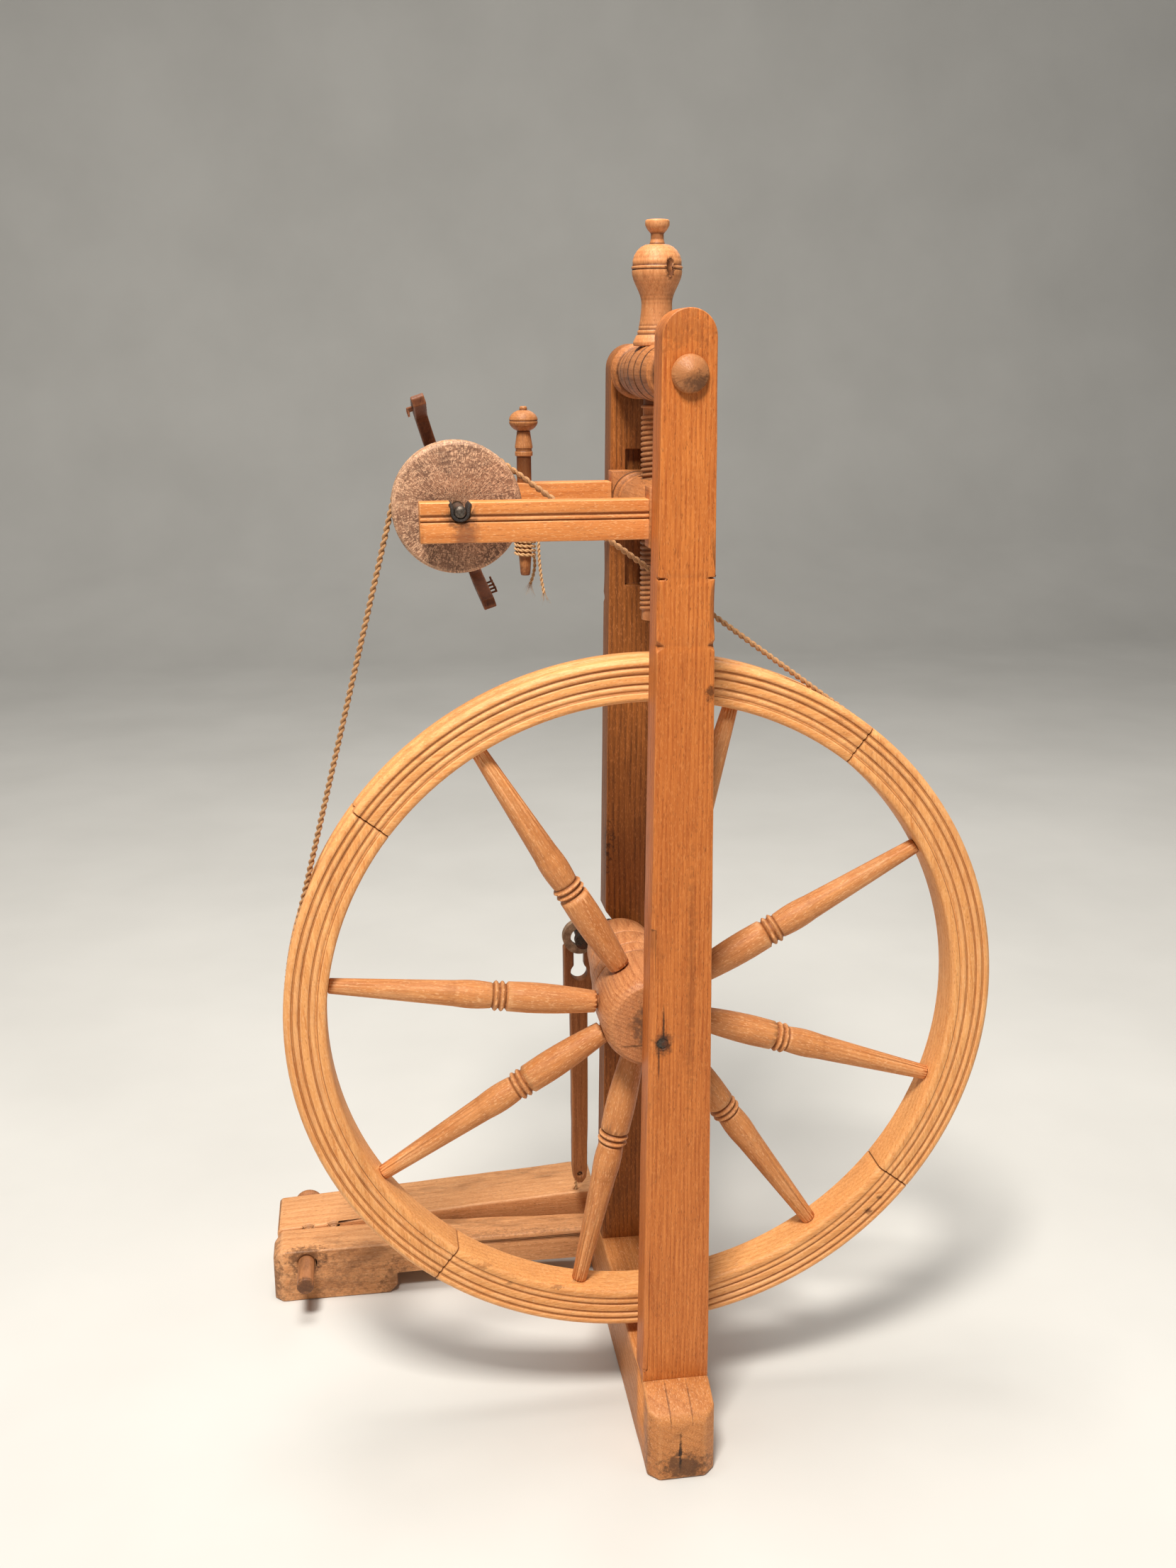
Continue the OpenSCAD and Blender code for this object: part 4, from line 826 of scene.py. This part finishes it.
def drift(spot):
    return Vector([noise.noise(spot + shift) for shift in driftShifts])


def wobble(piece, amount, scale, seed):
    start = Vector([seed * share for share in benchSet["seedShift"]])
    for vert in piece.data.vertices:
        vert.co += drift(vert.co * scale + start) * amount
    piece.data.update()


def middleOf(node):
    low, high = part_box(node)
    return (Vector(low) + Vector(high)) / 2


def setGrain(piece, along, across, heart, seed):
    x = Vector(along).normalized()
    z = x.cross(Vector(across)).normalized()
    y = z.cross(x)
    origin = Vector(heart)
    jump = Vector((seed * benchSet["grainJump"] % 1.0, 0, 0))
    pointAttribute(piece, "grainCo",
                   [Vector(((v.co - origin).dot(x), (v.co - origin).dot(y), (v.co - origin).dot(z))) + jump
                    for v in piece.data.vertices], "FLOAT_VECTOR")


def grainAlong(piece, node, axis, offset, seed):
    along, across = Vector((0, 0, 0)), Vector((0, 0, 0))
    along[axis], across[(axis + 1) % 3] = 1.0, 1.0
    setGrain(piece, along, across, middleOf(node) + Vector(offset), seed)


def dress(piece, finish, body, node, smooth=38):
    piece.data.materials.append(finishes[finish])
    grip(piece)
    bpy.ops.object.shade_smooth_by_angle(angle=math.radians(smooth))
    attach(piece, body)
    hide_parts(node)


# straight timber: node, piece, finish, body, slot, grain axis, cut spacing, edge width, wobble
timberSet = [
    ("front_post", "frontPost", "postWood", "frame", "post_wood", 2, 0.03, 0.0009, 0.0003),
    ("rear_post", "rearPost", "shadedRearPostWood", "frame", "post_wood", 2, 0.03, 0.0009, 0.0003),
    ("cross_beam", "crossBeam", "beamWood", "frame", "base_wood", 1, 0.02, 0.0026, 0.0007),
    ("side_beam", "sideBeam", "baseWood", "frame", "base_wood", 0, 0.02, 0.0022, 0.0006),
    ("treadle", "treadleBoard", "baseWood", "treadle", "base_wood", 0, 0.02, 0.0022, 0.0005),
    ("front_arm", "frontArm", "armWood", "carriage", "arm_wood", 0, 0.02, 0.0009, 0.00025),
    ("rear_arm", "rearArm", "armWood", "carriage", "arm_wood", 0, 0.02, 0.0009, 0.00025),
    ("footman", "footmanRod", "footmanWood", "footman", "turned_wood", 2, 0.02, 0.0014, 0.0005),
]
timberShape = {"heart": (0.03, 0.02, 0.04), "wobbleScale": 31.0, "bends": (0.5, 0.8)}
for seed, (node, name, finish, body, slot, axis, spacing, width, rough) in enumerate(timberSet, 1):
    piece = benchCopy(node, name)
    cutAcross(piece, axis, spacing)
    wobble(piece, rough, timberShape["wobbleScale"], seed)
    roundEdges(piece, width)
    markEdges(piece, *timberShape["bends"])
    grainAlong(piece, node, axis, timberShape["heart"], seed)
    dress(piece, finish, body, node)
    print("timber", name, len(piece.data.polygons))

# the flyer's yoke is one carved curve, so it is remeshed and smoothed
yokeSet = {"voxel": 0.0008, "rounds": 6, "factor": 0.5, "bends": (0.6, 0.8), "heart": (-0.12, 0.05, 0.79), "seed": 9,
           "smooth": 60}
yoke = benchCopy("flyer_yoke", "flyerYoke")
yoke.data.remesh_voxel_size = yokeSet["voxel"]
bpy.ops.object.voxel_remesh()
modify(yoke, "SMOOTH", factor=yokeSet["factor"], iterations=yokeSet["rounds"])
markEdges(yoke, *yokeSet["bends"])
setGrain(yoke, (0, 0, 1), (1, 0, 0), yokeSet["heart"], yokeSet["seed"])
dress(yoke, "darkWood", "flyer", "flyer_yoke", yokeSet["smooth"])
print("yoke carved", len(yoke.data.polygons))

# turned pieces and small iron: node, piece, finish, body, slot, grain axis, edge width
turnedSet = [
    ("top_drum", "topDrum", "drumWood", "frame", "turned_wood", 1, 0.0005),
    ("drum_cap_front", "drumCapFront", "turnedWood", "frame", "post_wood", 1, 0.0006),
    ("drum_cap_rear", "drumCapRear", "turnedWood", "frame", "post_wood", 1, 0.0006),
    ("hub", "wheelHub", "hubWood", "wheel", "wheel_wood", 1, 0.0006),
    ("nut_barrel", "nutBarrel", "drumWood", "carriage", "turned_wood", 1, 0.0006),
    ("treadle_pin", "treadlePin", "pinWood", "frame", "turned_wood", 1, 0.001),
    ("bobbin", "flyerBobbin", "drumWood", "bobbin", "turned_wood", 1, 0.0006),
    ("spindle", "flyerSpindle", "wornIron", "flyer", "iron", 1, 0.0024),
    ("flyer_hooks", "flyerHooks", "rustIron", "flyer", "iron", 1, 0.0),
    ("brake_peg", "brakePeg", "pegWood", "brake_peg", "turned_wood", 2, 0.0004),
    ("whorl", "flyerWhorl", "whorlWood", "flyer", "whorl_wood", 1, 0.0008),
]
turnedShape = {"heart": (0.006, 0.004, 0.008), "whorlHeart": (0, 0, 0), "firstSeed": 21}
for seed, (node, name, finish, body, slot, axis, width) in enumerate(turnedSet, turnedShape["firstSeed"]):
    piece = benchCopy(node, name)
    if width:
        roundEdges(piece, width, **fineEdge)
    markEdges(piece)
    grainAlong(piece, node, axis, turnedShape["whorlHeart" if node == "whorl" else "heart"], seed)
    dress(piece, finish, body, node)
    print("turned", name, len(piece.data.polygons))

# wheel ring and spokes: grain follows each piece, and its seed has a start and a step under the piece's name
wheelSet = {"axle": (0.0, 0.0, 0.377), "felloes": 4, "spokeTurn": 30.0, "spokeStep": 45,
            "spokeShift": (-0.7, 0, 1, 7.6, 1.8, 2.5, 4.8, -3), "spokeBends": (0.7, 0.3),
            "spokeHeart": (0.004, 0.003, 0.004), "rimHeart": (0, 0.03, 0), "rimPull": 0.8, "rimEdge": 0.0007,
            "keyEdge": 0.0005, "wheelSpoke": (41, 1.37), "wheelFelloe": (61, 2.3), "felloeKey": (71, 1)}
wheelMiddle = Vector(wheelSet["axle"])


def wheelPiece(kind, label, i, along, heart, edge=None, bends=(), finish="wheelWood", ends=False):
    node = "%s_%d" % (kind, i + 1)
    piece = benchCopy(node, "%s%d" % (label, i + 1))
    if edge:
        roundEdges(piece, edge, **fineEdge)
    markEdges(piece, *bends)
    if ends:
        soilEnds(piece, wheelMiddle)
    first, step = wheelSet[label]
    setGrain(piece, along, (0, 1, 0), wheelMiddle + heart, first + i * step)
    dress(piece, finish, "wheel", node)


for i, shift in enumerate(wheelSet["spokeShift"]):
    a = math.radians(wheelSet["spokeTurn"] + wheelSet["spokeStep"] * i + shift)
    wheelPiece("spoke", "wheelSpoke", i, (math.cos(a), 0, math.sin(a)), Vector(wheelSet["spokeHeart"]),
               bends=wheelSet["spokeBends"], finish="spokeWood")
for i in range(wheelSet["felloes"]):
    mid = middleOf("felloe_%d" % (i + 1)) - wheelMiddle
    chord = Vector((-mid.z, 0, mid.x)).normalized()
    heart = mid * wheelSet["rimPull"] + Vector(wheelSet["rimHeart"])
    wheelPiece("felloe", "wheelFelloe", i, chord, heart, wheelSet["rimEdge"], ends=True)
    wheelPiece("felloe_key", "felloeKey", i, chord, mid, wheelSet["keyEdge"])
print("wheel joined")

# the axle and the crank's loop keep their solids
for node, finish in (("axle", "oldIron"), ("crank_loop", "greyLeather")):
    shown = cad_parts[node]
    shown.data.materials.clear()
    shown.data.materials.append(finishes[finish])

# leather strap folded under the spindle, its two ends curled outwards
strapSet = {"middle": (-0.145, 0.786), "radius": 0.00575, "thick": 0.0024, "seed": 5, "arc": 12, "rows": 5,
            "ends": [(-0.0078, 0.0062), (-0.0070, 0.0058), (-0.0062, 0.0042), (-0.0058, 0.0020)], "limp": 0.9,
            "crumple": 0.0006, "across": 210, "lengthwise": 160, "looseRows": 3, "held": 0.25, "edge": 0.0005,
            "edgeAngle": 50, "smooth": 60, "front_bearing": (-0.0482, -0.0290), "rear_bearing": (0.1220, 0.1412)}


def leatherStrap(name, span):
    cx, cz = strapSet["middle"]
    r, rows, rate, loose = (strapSet[key] for key in ("radius", "rows", "across", "looseRows"))
    line = list(strapSet["ends"])
    for i in range(strapSet["arc"] + 1):
        a = math.pi + math.pi * i / strapSet["arc"]
        line.append((r * math.cos(a), r * math.sin(a)))
    line += [(-x, z * strapSet["limp"]) for x, z in reversed(strapSet["ends"])]
    verts, faces = [], []
    for i, (x, z) in enumerate(line):
        free = 1.0 if i < loose or i >= len(line) - loose else strapSet["held"]
        for j in range(rows):
            y = span[0] + (span[1] - span[0]) * j / (rows - 1)
            spot = Vector((x * rate, y * strapSet["lengthwise"], z * rate + strapSet["seed"]))
            push = drift(spot) * strapSet["crumple"]
            verts.append(Vector((cx + x, y, cz + z)) + push * free)
    for i in range(len(line) - 1):
        for j in range(rows - 1):
            a = i * rows + j
            faces.append((a, a + 1, a + rows + 1, a + rows))
    piece = newPiece(name, verts, faces)
    modify(piece, "SOLIDIFY", thickness=strapSet["thick"], offset=0.0)
    roundEdges(piece, strapSet["edge"], fineEdge["segments"], strapSet["edgeAngle"])
    return piece


for node, name in (("front_bearing", "frontLeather"), ("rear_bearing", "rearLeather")):
    strap = leatherStrap(name, strapSet[node])
    dress(strap, "blackLeather", "carriage", node, strapSet["smooth"])
print("straps folded")

# profile: radius and height as a share of one crest's spacing
screwSet = {"middle": (0.014, 0.0465), "low": 0.690, "high": 0.8545, "lead": 0.008, "starts": 2, "root": 0.0094,
            "profile": ((0.0094, 0.0), (0.0094, 0.1), (0.0111, 0.28), (0.0115, 0.4), (0.0115, 0.68), (0.0111, 0.8)),
            "steps": 36, "weld": 0.00005, "lift": 0.003, "coreGrow": 0.0005, "footInset": 0.0016, "footFacing": -0.9,
            "edge": 0.0005, "heart": (0.02, 0.05, 0.8), "seed": 77}
chipSet = {"place": (0.0216, 0.0277, 0.957), "size": (0.0034, 0.0034, 0.0085), "rough": 0.0009, "scale": 420.0,
           "seed": 9, "subdivisions": 3}


def chipBite(piece):
    freeAll()
    bpy.ops.mesh.primitive_ico_sphere_add(subdivisions=chipSet["subdivisions"], radius=1.0, location=chipSet["place"])
    biter = bpy.context.object
    biter.name = "chipBiter"
    biter.scale = chipSet["size"]
    bpy.ops.object.transform_apply(location=True, rotation=True, scale=True)
    wobble(biter, chipSet["rough"], chipSet["scale"], chipSet["seed"])
    modify(piece, "BOOLEAN", operation="DIFFERENCE", object=biter, solver="EXACT")
    grip(biter)
    bpy.ops.object.delete()


def screwThread():
    lead, starts = screwSet["lead"], screwSet["starts"]
    outline = [(r, 0, (k + share) * lead / starts) for k in range(starts) for r, share in screwSet["profile"]]
    outline.append((screwSet["root"], 0, lead))
    thread = newPiece("screwThread", outline, [], [(i, i + 1) for i in range(len(outline) - 1)])
    modify(thread, "SCREW", axis="Z", angle=2 * math.pi, screw_offset=lead, steps=screwSet["steps"],
           render_steps=screwSet["steps"], iterations=int((screwSet["high"] - screwSet["low"]) / lead) - 1,
           use_merge_vertices=True, merge_threshold=screwSet["weld"])
    thread.data.transform(Matrix.Translation((*screwSet["middle"], screwSet["low"] + screwSet["lift"])))
    openMesh()
    bpy.ops.mesh.remove_doubles(threshold=screwSet["weld"])
    bpy.ops.mesh.normals_make_consistent(inside=False)
    closeMesh()
    return thread


def screwCore():
    low, high = screwSet["low"], screwSet["high"]
    freeAll()
    bpy.ops.mesh.primitive_cylinder_add(vertices=screwSet["steps"], radius=screwSet["root"] + screwSet["coreGrow"],
                                        depth=high - low, location=(*screwSet["middle"], (high + low) / 2))
    core = bpy.context.object
    core.name = "screwCore"
    bpy.ops.object.transform_apply(location=True, rotation=True, scale=True)
    openMesh("DESELECT")
    closeMesh()
    for face in core.data.polygons:
        face.select = face.normal.z < screwSet["footFacing"]
    bpy.ops.object.mode_set(mode="EDIT")
    bpy.ops.mesh.inset(thickness=screwSet["footInset"])
    closeMesh()
    return core


def threadedScrew():
    upper = benchCopy("tension_screw", "tensionScrew")
    openMesh()
    bpy.ops.mesh.bisect(plane_co=(0, 0, screwSet["high"]), plane_no=(0, 0, 1), clear_inner=True, use_fill=True)
    closeMesh()
    chipBite(upper)
    roundEdges(upper, screwSet["edge"], **fineEdge)
    parts = (screwThread(), screwCore(), upper)
    freeAll()
    for part in parts:
        part.select_set(True)
    bpy.context.view_layer.objects.active = upper
    bpy.ops.object.join()
    return upper


screw = threadedScrew()
markEdges(screw)
setGrain(screw, (0, 0, 1), (1, 0, 0), screwSet["heart"], screwSet["seed"])
dress(screw, "turnedWood", "screw", "tension_screw")
print("screw cut")

# the floor's far edge is drawn up into a backdrop
floorSet = {"tones": ((204, 203, 199), (212, 211, 207)), "size": 7.0, "farEdge": 3.4, "grain": (3.0, 4.0, 0.5),
            "toneCut": (0.3, 0.7), "rough": 0.85, "rises": ((0, 0.6, 0.25), (0, 0.3, 0.8), (0, 0.05, 3.0))}
freeAll()
bpy.ops.mesh.primitive_plane_add(size=floorSet["size"], location=(0, 0, 0))
floor = bpy.context.object
floor.name = "paleFloor"
openMesh("DESELECT")
closeMesh()
for edge in floor.data.edges:
    edge.select = all(floor.data.vertices[i].co.y > floorSet["farEdge"] for i in edge.vertices)
bpy.ops.object.mode_set(mode="EDIT")
for rise in floorSet["rises"]:
    bpy.ops.mesh.extrude_region_move(TRANSFORM_OT_translate={"value": rise})
closeMesh()
bpy.ops.object.shade_smooth()
paperTree, paperBody = newFinish("palePaper")
paperPlace = placeOf(paperTree)
paperTone = remap(noiseOf(paperPlace, *floorSet["grain"]), *floorSet["toneCut"])
paperColour = blendColour(paperTone, *floorSet["tones"])
feed(paperBody, {"Base Color": paperColour, "Roughness": floorSet["rough"]})
floor.data.materials.append(finishes["palePaper"])

# lamps: name, place, target, power, size, colour
lampSet = [("keyLamp", (-0.6, -1.45, 3.0), (0, 0, 0.5), 112.0, 0.6, (1.0, 0.95, 0.88)),
           ("fillLamp", (1.9, -1.5, 1.5), (0, 0, 0.5), 6.0, 1.8, (1.0, 0.97, 0.93)),
           ("topLamp", (-0.3, 0.15, 3.2), (0, 0, 0.4), 46.0, 0.9, (1.0, 0.96, 0.9)),
           ("backLamp", (0.9, 1.7, 2.1), (0, 0, 0.6), 8.0, 1.4, (1.0, 0.98, 0.95))]
worldSet = {"Color": (1.0, 0.985, 0.96, 1.0), "Strength": 0.17}
for name, place, target, power, size, colour in lampSet:
    light = bpy.data.lights.new(name, "AREA")
    light.energy = power
    light.size = size
    light.color = colour
    lamp = bpy.data.objects.new(name, light)
    scene.collection.objects.link(lamp)
    lamp.location = place
    lamp.rotation_euler = (Vector(target) - Vector(place)).to_track_quat("-Z", "Y").to_euler()
world = bpy.data.worlds.new("studio")
world.use_nodes = True
feed(world.node_tree.nodes["Background"], worldSet)
scene.world = world
print("studio lit")
